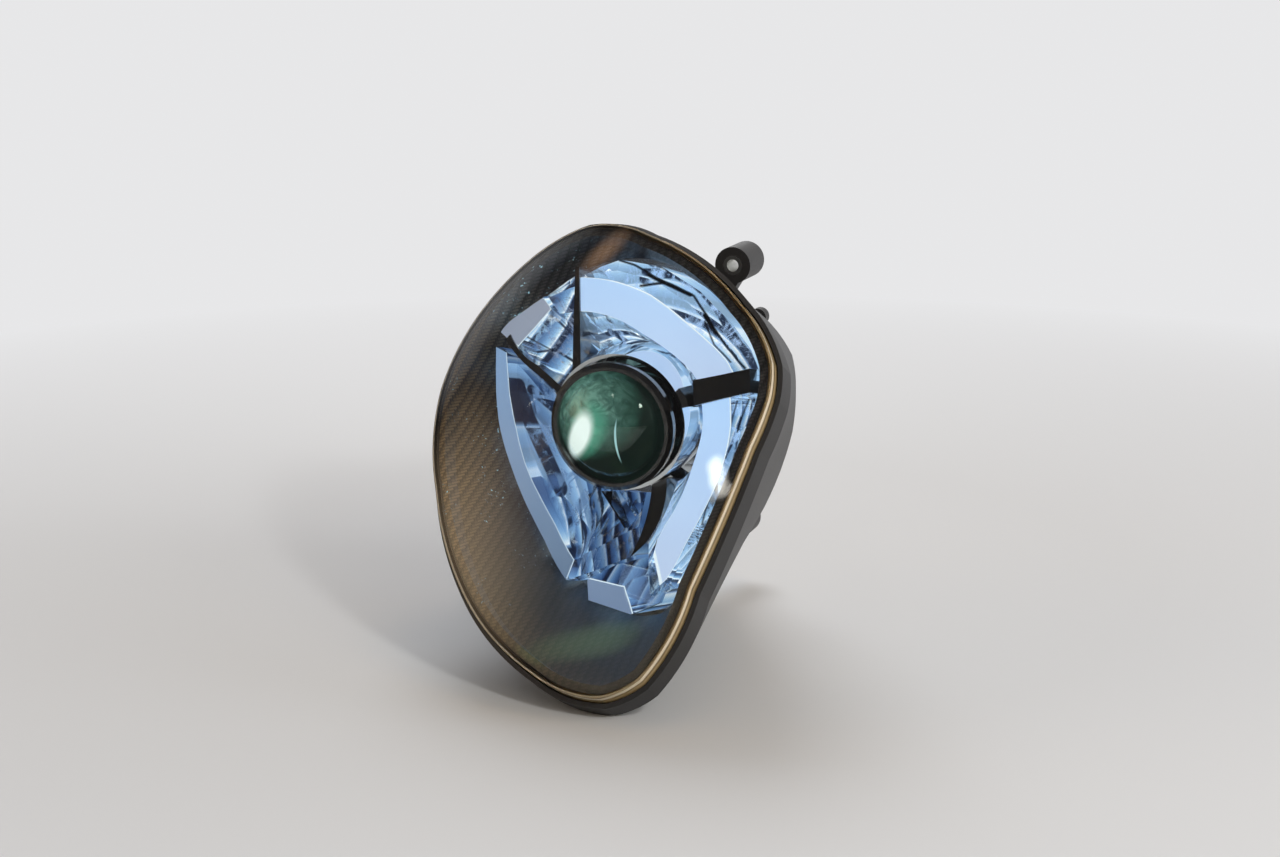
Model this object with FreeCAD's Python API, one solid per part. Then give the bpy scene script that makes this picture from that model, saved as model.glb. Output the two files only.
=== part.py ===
import FreeCAD, Part
import math
import os
from FreeCAD import Vector

# Right-hand front headlamp of a supercar, in millimetres.
# The lamp is drawn in its optical frame: the beam leaves along -Y, +Z is up and
# +X points inboard. OPTICAL_AXIS then puts it in the frame of its rear mounting
# circle, whose centre is the origin.

# Mounting
OPTICAL_AXIS = Vector(25, 0, 10)
LUG_CIRCLE_DIAMETER = 220.0
LUG_ANGLES = (60, 180, 300)
LUG_RADIUS = 13.0
LUG_LENGTH = 34.0
LUG_WEB_WIDTH = 20.0
LUG_WEB_LENGTH = 55.0
GUSSET_THICKNESS = 3.0
GUSSET_REACH = 22.0
GUSSET_TOP_Y = -6.0
BUSH_RADIUS = 7.0
BOLT_HOLE_RADIUS = 4.25
BUSH_PROUD = 0.5

# Outer cover: a barrel-shaped sheet, turned outboard and raked back
COVER_AHEAD = 252.0
COVER_YAW = 12.0
COVER_RAKE = 35.0
COVER_PLAN_RADIUS = 360.0
COVER_SIDE_RADIUS = 560.0
COVER_THICKNESS = 3.5
COVER_LEG_DEPTH = 14.0

# Seal and channel that hold the cover
SEAL_HEIGHT = 2.0
SEAL_SIDE_GAP = 1.0
SEAL_GAP = 0.1
CHANNEL_WALL = 3.0
CHANNEL_FLOOR = 2.5
CHANNEL_TOP_DEPTH = 6.0
CHANNEL_INNER_TOP_DEPTH = 8.0
WALL = 2.5
SEAT_GAP = 0.3

# Raked plane on which the frosted front faces of the crystals lie
CRYSTAL_PLANE_Y = -163.0
CRYSTAL_PLANE_TILT = 13.5
CRYSTAL_DEPTH = 36.0
CRYSTAL_SHOULDER_DEPTH = 12.0
CRYSTAL_FOOT_DEPTH = 26.0
CRYSTAL_CREST_DROP = 3.5
SMOOTH_CORNERS = (2, 3)
BACKING_THICKNESS = 3.5
BOARD_CIRCLE = 68.0
BOARD_ANGLES = (30, 100, 200, 300)
BOARD_LENGTH = 24.0
BOARD_WIDTH = 10.0
BOARD_THICKNESS = 1.6
BACKING_MARGIN = 4.0

# Bowl between the cover's rim and the crystals
BOWL_THICKNESS = 2.2
BOWL_LIP_WIDTH = 5.3
BOWL_LIP_DEPTH = 5.5
BOWL_STEP_GAP = 0.1
BOWL_FOOT_INSET = 2.0

# Housing
HOUSING_MARGIN = 5.0
HOUSING_TURN_DEPTH = 48.0
WAIST_RUN = 35.0
WAIST_Y = CRYSTAL_PLANE_Y + HOUSING_TURN_DEPTH + WAIST_RUN
FLANGE_WIDTH = 5.0
FLANGE_THICKNESS = 4.0
FLANGE_GAP = 0.2
EAR_POINTS = (1, 7, 12, 17, 22, 28)
EAR_OFFSET = 7.0
EAR_RADIUS = 6.0
SCREW_RADIUS = 2.0
SCREW_HEAD_RADIUS = 4.0
SCREW_HEAD_HEIGHT = 3.0
SCREW_RECESS = 1.6
SCREW_RECESS_DEPTH = 2.0
REAR_WALL_Y = -22.0
REAR_CHAMFER = 4.0

# Projector, which swings in a gimbal frame
PIVOT_Y = -90.0
DOME_FRONT_Y = -212.0
DOME_RADIUS = 43.6
LENS_RADIUS = 38.0
LENS_BACK_Y = -186.0
RING_RADIUS = 42.25
RING_APERTURE = 37.2
RING_FRONT_Y = -196.0
RING_BACK_Y = -188.5
RING_LIP = 2.8
RING_ROUND = 2.6
LENS_GAP = 0.3
BARREL_RADIUS = 30.0
BARREL_WALL = 3.0
BARREL_BACK_Y = -100.0
BARREL_FLANGE = 4.0
BARREL_SEAT_RADIUS = 33.0
REFLECTOR_RADIUS = 41.0
REFLECTOR_BACK_Y = -58.0
REFLECTOR_STEP = 4.0
REFLECTOR_BULGE = 5.0
REFLECTOR_REST = 2.0
LIGHT_SOURCE_RADIUS = 20.0
LIGHT_SOURCE_THICKNESS = 4.0
SINK_SIZE = 56.0
SINK_BASE = 5.0
SINK_LENGTH = 20.0
SINK_FINS = 9
SINK_FIN_THICKNESS = 2.0

# Gimbal frame
FRAME_HALF = 54.0
FRAME_BAR = 8.0
FRAME_LENGTH = 10.0
FRAME_CORNER = 12.0
LEVEL_PIN_RADIUS = 4.0
LEVEL_PIN_LENGTH = 8.0
AIM_PIN_RADIUS = 3.5
PIN_CLEARANCE = 0.05
BRACKET_GAP = 3.0
BRACKET_THICKNESS = 4.0
BRACKET_HALF_HEIGHT = 12.0
BRACKET_FRONT_Y = -150.0
BRACKET_BACK_Y = -83.0

# Levelling and aiming rods
LEVEL_ARM = FRAME_HALF + 8.0
AIM_ARM = 50.0
AIM_SOCKET_Y = -72.0
LEVEL_ROD = dict(ball=5.0, rod=2.5, socket_gap=0.4, mouth=4.2)
AIM_ROD = dict(ball=3.5, rod=2.5, socket_gap=1.4, mouth=4.2)
SOCKET_MOUTH_RUN = 20.0
LEVEL_SOCKET_WALL = 2.5
LEVEL_LUG_WIDTH = 18.0
LEVEL_LUG_AHEAD = 8.0
LEVEL_LUG_BEHIND = 6.0
AIM_SOCKET_WALL = 2.0
AIM_LUG_WIDTH = 16.0
AIM_LUG_HALF_LENGTH = 6.0
LEVEL_ROD_BACK_Y = -31.0
MOTOR_FRONT_Y = -44.0
MOTOR_BORE_END_Y = -25.0
MOTOR_RADIUS = 14.8
MOTOR_FLANGE_RADIUS = 18.0
MOTOR_FLANGE = 4.0
MOTOR_BOX = (30.0, 14.0, 34.0)
HOLE_CLEARANCE = 0.2
AIM_KNOB_RADIUS = 8.0
AIM_KNOB_FRONT_Y = -14.0
AIM_KNOB_BACK_Y = -6.0
AIM_BOSS_RADIUS = 7.0
AIM_BOSS_BACK_Y = -18.0
AIM_BOSS_FRONT_Y = -30.0

# Collar round the barrel
COLLAR_FRONT_Y = -180.0
COLLAR_FLARE_Y = -155.0
COLLAR_FRONT_RADIUS = 45.5
COLLAR_FLARE_RADIUS = 47.5
COLLAR_BACK_RADIUS = 46.0
COLLAR_WALL = 2.5
COLLAR_BACK_Y = -108.0

# Rear fittings
CAP_RADIUS = 33.0
CAP_SPIGOT_RADIUS = 30.0
CAP_HEIGHT = 12.0
CAP_SPIGOT = 4.0
CAP_WALL = 2.5
CAP_SKIRT_GAP = 0.6
CAP_SKIRT_WALL = 2.0
CAP_SKIRT_HEIGHT = 5.0
CAP_GRIP = (44.0, 5.0, 8.0)
CONNECTOR_AT = (-62.0, -58.0)
CONNECTOR_SIZE = (34.0, 17.0, 22.0)
CONNECTOR_WALL = 2.0
CONNECTOR_FLOOR = 3.0
CONTROL_UNIT_AT = (-71.0, 34.0)
CONTROL_UNIT_SIZE = (26.0, 12.0, 44.0)
CONTROL_UNIT_FINS = 6
CONTROL_UNIT_FIN = 2.0
VENT_AT = (-30.0, 62.0)
VENT_RADIUS = 8.0
VENT_HEIGHT = 8.0
VENT_BRIM = 3.0

# How far a cutting tool passes the face that it cuts
OVERRUN = 5.0

# The outlines run clockwise as seen from the front. Each row is one direction:
# the cover's rim on its own sheet (rim_u inboard, rim_v up the rake), the foot of
# the bowl on the crystal plane (foot_a inboard, foot_b up), the housing at its waist,
# counted in half-widths of the gimbal frame that it encloses, and at its rear wall
# (x inboard, z up).
OUTLINE = [
    # rim_u, rim_v, foot_a, foot_b, waist_x, waist_z, rear_x, rear_z
    (-75.7, 171.6, -44, 104, -0.7, 1.56, -44, 78),
    (-18.7, 162.7, -8, 110, -0.15, 1.63, -18, 80),
    (31.0, 143.1, 30, 98, 0.48, 1.5, 8, 78),
    (66.9, 118.8, 62, 74, 0.93, 1.2, 26, 68),
    (101.6, 81.2, 88, 48, 1.19, 0.8, 37, 50),
    (108.1, 56.8, 92, 28, 1.28, 0.41, 40, 26),
    (107.3, 23.0, 92, 0, 1.3, 0, 40, 0),
    (96.9, -71.5, 66, -72, 1.11, -1.11, 38, -60),
    (79.6, -131.2, 42, -114, 0.81, -1.67, 26, -84),
    (57.2, -147.8, 20, -133, 0.37, -1.89, 6, -94),
    (7.4, -142.6, -24, -128, -0.41, -1.89, -34, -95),
    (-54.7, -105.5, -62, -80, -1.15, -1.52, -66, -86),
    (-108.5, -37.5, -86, -36, -1.63, -0.85, -86, -60),
    (-143.8, 36.7, -104, 14, -1.89, 0, -94, -20),
    (-145.5, 72.9, -108, 42, -1.89, 0.63, -94, 30),
    (-119.1, 139.5, -80, 78, -1.48, 1.26, -76, 64),
]

# Crystals. Each row is a section at an angle about the optical axis on the crystal
# plane (0 inboard, 90 up): the radii of its foot, of the front band's inner and outer
# edge, of the crest between the two outer facets and of its shoulder, and how deep
# the front band lies behind the crystal plane. A band at depth 0 is frosted.
CRYSTALS = {
    "crystal_upper_left": [
        # angle, foot, band_inner, band_outer, crest, shoulder, front
        (164, 50, 88, 101, 103, 104, 6),
        (152, 50, 93, 108, 109, 110, 0),
        (142, 50, 91, 103.5, 105, 106.5, 0),
        (132, 50, 92, 100.5, 102, 103.5, 0),
        (130.5, 50, 86, 99.5, 101.5, 103.5, 4),
        (121, 50, 80, 97, 101, 104, 5.5),
        (110, 50, 74, 95, 100, 106, 7),
    ],
    "crystal_upper_right": [
        (128, 50, 86, 106, 108, 110, 0),
        (115, 50, 75.5, 99, 101.5, 104, 0),
        (100, 50, 65, 88.5, 98, 106, 0),
        (84, 50, 56, 80, 92, 102, 0),
        (66, 50, 52, 72.6, 85, 95, 0),
        (47, 50, 52, 72.3, 82, 91.5, 0),
        (33, 50, 53.5, 75.7, 84, 92, 0),
        (20, 50, 55, 78, 85, 92, 0),
    ],
    "crystal_lower_right": [
        (16, 50, 52, 70, 79, 87, 0),
        (0, 50, 52, 69.7, 78, 85, 0),
        (-16, 50, 52.5, 70.6, 77, 83, 0),
        (-32, 50, 55.5, 74.5, 79.5, 83.5, 0),
        (-48, 50, 63, 82, 86, 89.5, 0),
        (-60, 50, 71.5, 92, 96, 99, 0),
        (-71, 50, 84, 109, 113, 116, 0),
        (-78, 50, 106, 118, 120, 121, 2),
    ],
    "crystal_left": [
        (158, 50, 99, 106, 107, 108, 0),
        (174, 50, 87.5, 96.5, 98, 99, 0),
        (190, 50, 81.4, 92, 93, 93.5, 0),
        (207, 50, 80.7, 90, 90.8, 90.2, 0),
        (223, 50, 82.5, 93, 94, 94, 0),
        (239, 50, 89.5, 101.5, 102.5, 102.5, 0),
        (252, 50, 103, 116, 117.5, 118.5, 0),
        (255, 50, 97, 113, 114.5, 116, 3),
        (267, 50, 81, 98.5, 100.5, 102, 4.5),
        (279, 50, 72, 90, 92, 94, 6),
    ],
}

# Lines on the crystal plane, along the middle of a spoke, that end two crystals. Each
# crystal lies on the left of its lines, looking from the first point to the second.
CRYSTAL_LIMITS = {
    "crystal_upper_left": [(-37.5, 20, -43.3, 110), (-110, 60.8, -38, 6.5)],
    "crystal_upper_right": [(-43.3, 110, -37.5, 20), (-27.8, 103.1, -41.8, 90.2)],
    "crystal_lower_right": [(24, -40, 8, -95)],
    "crystal_left": [(-38, 6.5, -110, 60.8), (8, -95, 24, -40)],
}
GROOVE = [(-16, -49.5), (-13.8, -50), (4.6, -72.4), (3.2, -73.8)]
GROOVE_DEPTH = 30.0
CRYSTAL_BOTTOM = [(-19.7, -110), (-2.3, -98.5), (18.7, -91), (33.5, -108), (29.4, -120.8),
                  (12.7, -129.6), (-17.8, -123.3)]
CRYSTAL_BOTTOM_FRONT = 0.0
# Its frosted front ends at two ridges, beyond which it slopes back
CRYSTAL_BOTTOM_RIDGES = [(-45, -107.2, 60, -119.5), (4.1, -109.5, 15.3, -135.8)]
CRYSTAL_BOTTOM_REACH = 60.0
CRYSTAL_BOTTOM_FALL = 24.0

# Spokes between the crystals, as closed runs of arcs on the crystal plane, in which
# every other point is the middle of an arc, with the depth at which each one starts
SPOKES = {
    "top": dict(front=-2.0, outline=[(-44.6, 97), (-43.2, 97), (-42, 97), (-38.6, 61), (-34.8, 25),
                                     (-38, 24), (-41, 25), (-43.2, 61)]),
    "upper_left": dict(front=-2.0, outline=[(-91, 45.5), (-80, 33.5), (-69, 25.5), (-55, 16), (-40, 4),
                                            (-38.5, 6), (-37, 8), (-52, 19.5), (-67, 30), (-79, 37.5),
                                            (-88, 49), (-89.5, 47.2)]),
    "inboard": dict(front=-6.0, outline=[(47, 11), (65.5, 16.7), (84.3, 22.3), (83.6, 30), (82.7, 37.7),
                                         (64, 32.5), (45, 27.5), (45.8, 19)]),
    "bottom": dict(front=3.0, outline=[(29, -38), (24, -38), (19, -38), (17.5, -64), (8, -92),
                                       (24, -72)]),
}
STUB = dict(front=2.0, outline=[(34, 7.8), (40.7, 9.2), (49, 11.2), (48.6, 14), (48.2, 17), (40.7, 15.2),
                                (34, 13.8), (34, 10.8)])
SPOKE_GAP = 0.3

X = Vector(1, 0, 0)
Y = Vector(0, 1, 0)
Z = Vector(0, 0, 1)


def rotated(angle, tilt):
    """Unit vector that points forward, turned outboard by angle and up by tilt."""
    turn = math.radians(angle)
    rise = math.radians(tilt)
    return Vector(-math.sin(turn) * math.cos(rise), -math.cos(turn) * math.cos(rise), math.sin(rise))


COVER_W = rotated(COVER_YAW, COVER_RAKE)
COVER_V = (Z - COVER_W * COVER_W.z).normalize()
COVER_U = COVER_V.cross(COVER_W)
COVER_CENTRE = Vector(0, -COVER_AHEAD, 0)
PLANE_N = rotated(0, CRYSTAL_PLANE_TILT)
PLANE_B = PLANE_N.cross(X)
PLANE_ORIGIN = Vector(0, CRYSTAL_PLANE_Y, 0)


def on_cover(u, v, depth):
    """Point below the cover's outer face, depth measured square to it."""
    rho = COVER_PLAN_RADIUS - COVER_SIDE_RADIUS + math.sqrt((COVER_SIDE_RADIUS - depth) ** 2 - v * v)
    w = math.sqrt(rho * rho - u * u) - COVER_PLAN_RADIUS
    return COVER_CENTRE + COVER_U * u + COVER_V * v + COVER_W * w


def on_plane(a, b, depth):
    """Point behind the crystal plane."""
    return PLANE_ORIGIN + X * a + PLANE_B * b - PLANE_N * depth


def loop_stations(nodes):
    """Smooth closed curve through the nodes: place and outward normal at each node and mid-span."""
    points = [Vector(p[0], p[1], 0) for p in nodes]
    count = len(points)
    tangents = []
    for i in range(count):
        before = points[i] - points[i - 1]
        after = points[(i + 1) % count] - points[i]
        ratio = after.Length / before.Length
        tangents.append((before * ratio + after * (1 / ratio)).normalize())
    stations = []
    for i in range(count):
        j = (i + 1) % count
        chord = points[j] - points[i]
        middle = (points[i] + points[j]) * 0.5 + (tangents[i] - tangents[j]) * (chord.Length / 8)
        stations.append((points[i], Vector(-tangents[i].y, tangents[i].x, 0)))
        stations.append((middle, Vector(-chord.y, chord.x, 0).normalize()))
    return stations


RIM = loop_stations([(r[0], r[1]) for r in OUTLINE])
FOOT = loop_stations([(r[2], r[3]) for r in OUTLINE])
WAIST = loop_stations([(r[4] * FRAME_HALF, r[5] * FRAME_HALF) for r in OUTLINE])
REAR = loop_stations([(r[6], r[7]) for r in OUTLINE])


def grown(stations, margin):
    return [place + normal * margin for place, normal in stations]


def rim(margin, depth):
    return [on_cover(p.x, p.y, depth) for p in grown(RIM, margin)]


def foot(margin, depth):
    return [on_plane(p.x, p.y, depth) for p in grown(FOOT, margin)]


def waist(margin, y):
    return [Vector(p.x, y, p.y) for p in grown(WAIST, margin)]


def rear(margin, y):
    return [Vector(p.x, y, p.y) for p in grown(REAR, margin)]


def arc(start, middle, end):
    if (middle - start).cross(end - middle).Length < 1e-4 * (end - start).Length:
        return Part.LineSegment(start, end).toShape()
    return Part.Arc(start, middle, end).toShape()


def arcs(points):
    """Closed run of arcs: every other point is the middle of an arc."""
    count = len(points)
    return [arc(points[i], points[i + 1], points[(i + 2) % count]) for i in range(0, count, 2)]


def closed_solid(faces):
    shell = Part.makeShell(faces)
    shell.sewShape()
    solid = Part.makeSolid(Part.makeShell(shell.Faces))
    if solid.Volume < 0:
        solid.reverse()
    return solid


def ring_solid(loops):
    """Wall whose section is the closed polygon that the loops trace in turn."""
    faces = []
    edges = [arcs(points) for points in loops]
    for k in range(len(edges)):
        for lower, upper in zip(edges[k - 1], edges[k]):
            faces.append(Part.makeRuledSurface(lower, upper))
    return closed_solid(faces)


def cup_solid(outer, inner):
    """Cup with an open front: walls between the loops, joined at the front and closed at the back."""
    faces = []
    edges = [arcs(points) for points in reversed(outer)] + [arcs(points) for points in inner]
    for k in range(1, len(edges)):
        for lower, upper in zip(edges[k - 1], edges[k]):
            faces.append(Part.makeRuledSurface(lower, upper))
    faces.append(Part.Face(Part.Wire(edges[0])))
    faces.append(Part.Face(Part.Wire(edges[-1])))
    return closed_solid(faces)


def polygon_prism(points, direction):
    return Part.Face(Part.makePolygon(points + points[:1])).extrude(direction)


def plane_prism(outline, front, back):
    """Straight-sided block behind the crystal plane, from depth front to depth back."""
    return polygon_prism([on_plane(a, b, front) for a, b in outline], PLANE_N * (front - back))


def arc_prism(outline, front, back):
    """Block behind the crystal plane whose outline is a closed run of arcs."""
    points = [on_plane(a, b, front) for a, b in outline]
    return Part.Face(Part.Wire(arcs(points))).extrude(PLANE_N * (front - back))


def half_block(line):
    """Large block on the right of a line on the crystal plane."""
    size = 400
    start = Vector(line[0], line[1], 0)
    end = Vector(line[2], line[3], 0)
    along = (end - start).normalize() * size
    across = Vector(along.y, -along.x, 0)
    corners = [start - along, start + along, start + along + across, start - along + across]
    return plane_prism([(p.x, p.y) for p in corners], -size / 2, size / 2)


def behind_plane(depth):
    """Half-space block behind a depth of the crystal plane."""
    size = 400
    corners = [(-size, -size), (size, -size), (size, size), (-size, size)]
    return plane_prism(corners, depth, depth + size)


def box(centre_x, centre_z, size_x, size_z, front_y, back_y):
    return Part.makeBox(size_x, back_y - front_y, size_z,
                        Vector(centre_x - size_x / 2, front_y, centre_z - size_z / 2))


def rod(radius, front_y, back_y, x=0.0, z=0.0):
    return Part.makeCylinder(radius, back_y - front_y, Vector(x, front_y, z), Y)


def hexagon(radius, x, y, z):
    """Corners of a hexagon that faces along Y."""
    turns = [math.radians(60 * k) for k in range(6)]
    return [Vector(x + radius * math.cos(turn), y, z + radius * math.sin(turn)) for turn in turns]


def turned(profile):
    """Solid turned about the optical axis from (radius, y) points; a third value bends a side."""
    edges = []
    count = len(profile)
    for i in range(count):
        start = profile[i]
        end = profile[(i + 1) % count]
        p = Vector(start[0], start[1], 0)
        q = Vector(end[0], end[1], 0)
        bulge = start[2] if len(start) > 2 else 0.0
        if bulge:
            side = Vector(q.y - p.y, p.x - q.x, 0).normalize()
            edges.append(Part.Arc(p, (p + q) * 0.5 + side * bulge, q).toShape())
        else:
            edges.append(Part.LineSegment(p, q).toShape())
    return Part.Face(Part.Wire(edges)).revolve(Vector(0, 0, 0), Y, 360)


def cover_sheet(thickness):
    """Barrel-shaped sheet in the cover's own frame, wider than the lamp."""
    half = 200.0
    outer = COVER_SIDE_RADIUS
    inner = COVER_SIDE_RADIUS - thickness
    centre = -COVER_SIDE_RADIUS

    def point(radius, v):
        return Vector(0, v, centre + math.sqrt(radius * radius - v * v))

    edges = [
        Part.Arc(point(outer, -half), point(outer, 0), point(outer, half)).toShape(),
        Part.LineSegment(point(outer, half), point(inner, half)).toShape(),
        Part.Arc(point(inner, half), point(inner, 0), point(inner, -half)).toShape(),
        Part.LineSegment(point(inner, -half), point(outer, -half)).toShape(),
    ]
    sweep = 70
    axis = Vector(0, 0, -COVER_PLAN_RADIUS)
    section = Part.Face(Part.Wire(edges))
    section.rotate(axis, Y, -sweep / 2)
    return section.revolve(axis, Y, sweep)


def rim_prism(margin):
    low = -160
    high = 60
    points = [Vector(p.x, p.y, low) for p in grown(RIM, margin)]
    return Part.Face(Part.Wire(arcs(points))).extrude(Vector(0, 0, high - low))


def cover_lens():
    outline = rim_prism(0)
    sheet = cover_sheet(COVER_THICKNESS).common(outline)
    leg = cover_sheet(COVER_LEG_DEPTH).common(outline).cut(rim_prism(-COVER_THICKNESS))
    cover = sheet.fuse(leg).removeSplitter()
    matrix = FreeCAD.Matrix(COVER_U.x, COVER_V.x, COVER_W.x, COVER_CENTRE.x,
                            COVER_U.y, COVER_V.y, COVER_W.y, COVER_CENTRE.y,
                            COVER_U.z, COVER_V.z, COVER_W.z, COVER_CENTRE.z)
    cover.Placement = FreeCAD.Placement(matrix)
    return cover


def cover_seal():
    top = COVER_LEG_DEPTH + SEAL_GAP
    bottom = COVER_LEG_DEPTH + SEAL_HEIGHT
    outer = SEAL_SIDE_GAP
    inner = -COVER_THICKNESS - SEAL_SIDE_GAP
    return ring_solid([rim(outer, top), rim(outer, bottom), rim(inner, bottom), rim(inner, top)])


def wall_normals(top, bottom):
    """Unit vectors square to the wall between two loops, pointing out of it."""
    count = len(top)
    normals = []
    for i in range(count):
        j = (i + 1) % count
        along = top[j] - top[i - 1] + bottom[j] - bottom[i - 1]
        normals.append(along.cross(bottom[i] - top[i]).normalize())
    return normals


def bezel_bowl():
    start = -COVER_THICKNESS - 2 * SEAT_GAP
    turn = start - BOWL_LIP_WIDTH
    under = BOWL_LIP_DEPTH + BOWL_THICKNESS
    step = COVER_LEG_DEPTH + SEAL_HEIGHT + CHANNEL_FLOOR + BOWL_STEP_GAP
    top = rim(turn, step)
    bottom = foot(-BOWL_FOOT_INSET, CRYSTAL_DEPTH)
    normals = wall_normals(top, bottom)
    bottom = [p + PLANE_N * max(0, -n.dot(PLANE_N)) * BOWL_THICKNESS for p, n in zip(bottom, normals)]
    return ring_solid([
        rim(start, BOWL_LIP_DEPTH),
        rim(turn, BOWL_LIP_DEPTH),
        top,
        bottom,
        [p + n * BOWL_THICKNESS for p, n in zip(bottom, normals)],
        [p + n * BOWL_THICKNESS for p, n in zip(top, normals)],
        rim(turn + BOWL_THICKNESS, under),
        rim(start, under),
    ])


def flange_ears(front_y, back_y):
    """Round ears for the screws, at points of the waist's outline."""
    places = waist(EAR_OFFSET, 0)
    return [rod(EAR_RADIUS, front_y, back_y, places[i].x, places[i].z) for i in EAR_POINTS]


def flange_screws():
    """Pan-head screws from the back, with a six-sided recess."""
    front = WAIST_Y - FLANGE_THICKNESS
    seat = WAIST_Y + FLANGE_THICKNESS
    places = waist(EAR_OFFSET, 0)
    screws = []
    for i in EAR_POINTS:
        x, z = places[i].x, places[i].z
        shank = rod(SCREW_RADIUS, front, seat, x, z)
        head = rod(SCREW_HEAD_RADIUS, seat, seat + SCREW_HEAD_HEIGHT, x, z)
        corners = hexagon(SCREW_RECESS, x, seat + SCREW_HEAD_HEIGHT, z)
        recess = polygon_prism(corners, Y * -SCREW_RECESS_DEPTH)
        screws.append(shank.fuse(head).cut(recess).removeSplitter())
    return Part.makeCompound(screws)


def with_ears(shell, front_y, back_y):
    """Adds the ears to a flange and bores them for the screws."""
    places = waist(EAR_OFFSET, 0)
    for ear in flange_ears(front_y, back_y):
        shell = shell.fuse(ear)
    for i in EAR_POINTS:
        bore = SCREW_RADIUS + PIN_CLEARANCE
        shell = shell.cut(rod(bore, front_y - 1, back_y + 1, places[i].x, places[i].z))
    return shell


def housing_front():
    seat = COVER_LEG_DEPTH + SEAL_HEIGHT
    under = seat + CHANNEL_FLOOR
    outer = SEAL_SIDE_GAP
    inner = -COVER_THICKNESS - SEAL_SIDE_GAP
    shell = ring_solid([
        rim(outer + CHANNEL_WALL, CHANNEL_TOP_DEPTH),
        rim(outer + CHANNEL_WALL, under),
        foot(HOUSING_MARGIN + WALL, HOUSING_TURN_DEPTH),
        waist(0, WAIST_Y - FLANGE_THICKNESS),
        waist(FLANGE_WIDTH, WAIST_Y - FLANGE_THICKNESS),
        waist(FLANGE_WIDTH, WAIST_Y - FLANGE_GAP),
        waist(-WALL, WAIST_Y - FLANGE_GAP),
        waist(-WALL, WAIST_Y - FLANGE_THICKNESS - WALL),
        foot(HOUSING_MARGIN, HOUSING_TURN_DEPTH),
        rim(outer + CHANNEL_WALL - WALL, under),
        rim(inner - WALL, under),
        rim(inner - WALL, CHANNEL_INNER_TOP_DEPTH),
        rim(inner, CHANNEL_INNER_TOP_DEPTH),
        rim(inner, seat),
        rim(outer, seat),
        rim(outer, CHANNEL_TOP_DEPTH),
    ])
    return with_ears(shell, WAIST_Y - FLANGE_THICKNESS, WAIST_Y - FLANGE_GAP)


def lug_places():
    radius = LUG_CIRCLE_DIAMETER / 2
    for angle in LUG_ANGLES:
        turn = math.radians(angle)
        yield Vector(radius * math.cos(turn), 0, radius * math.sin(turn)) - Vector(
            OPTICAL_AXIS.x, 0, OPTICAL_AXIS.z)


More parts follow.
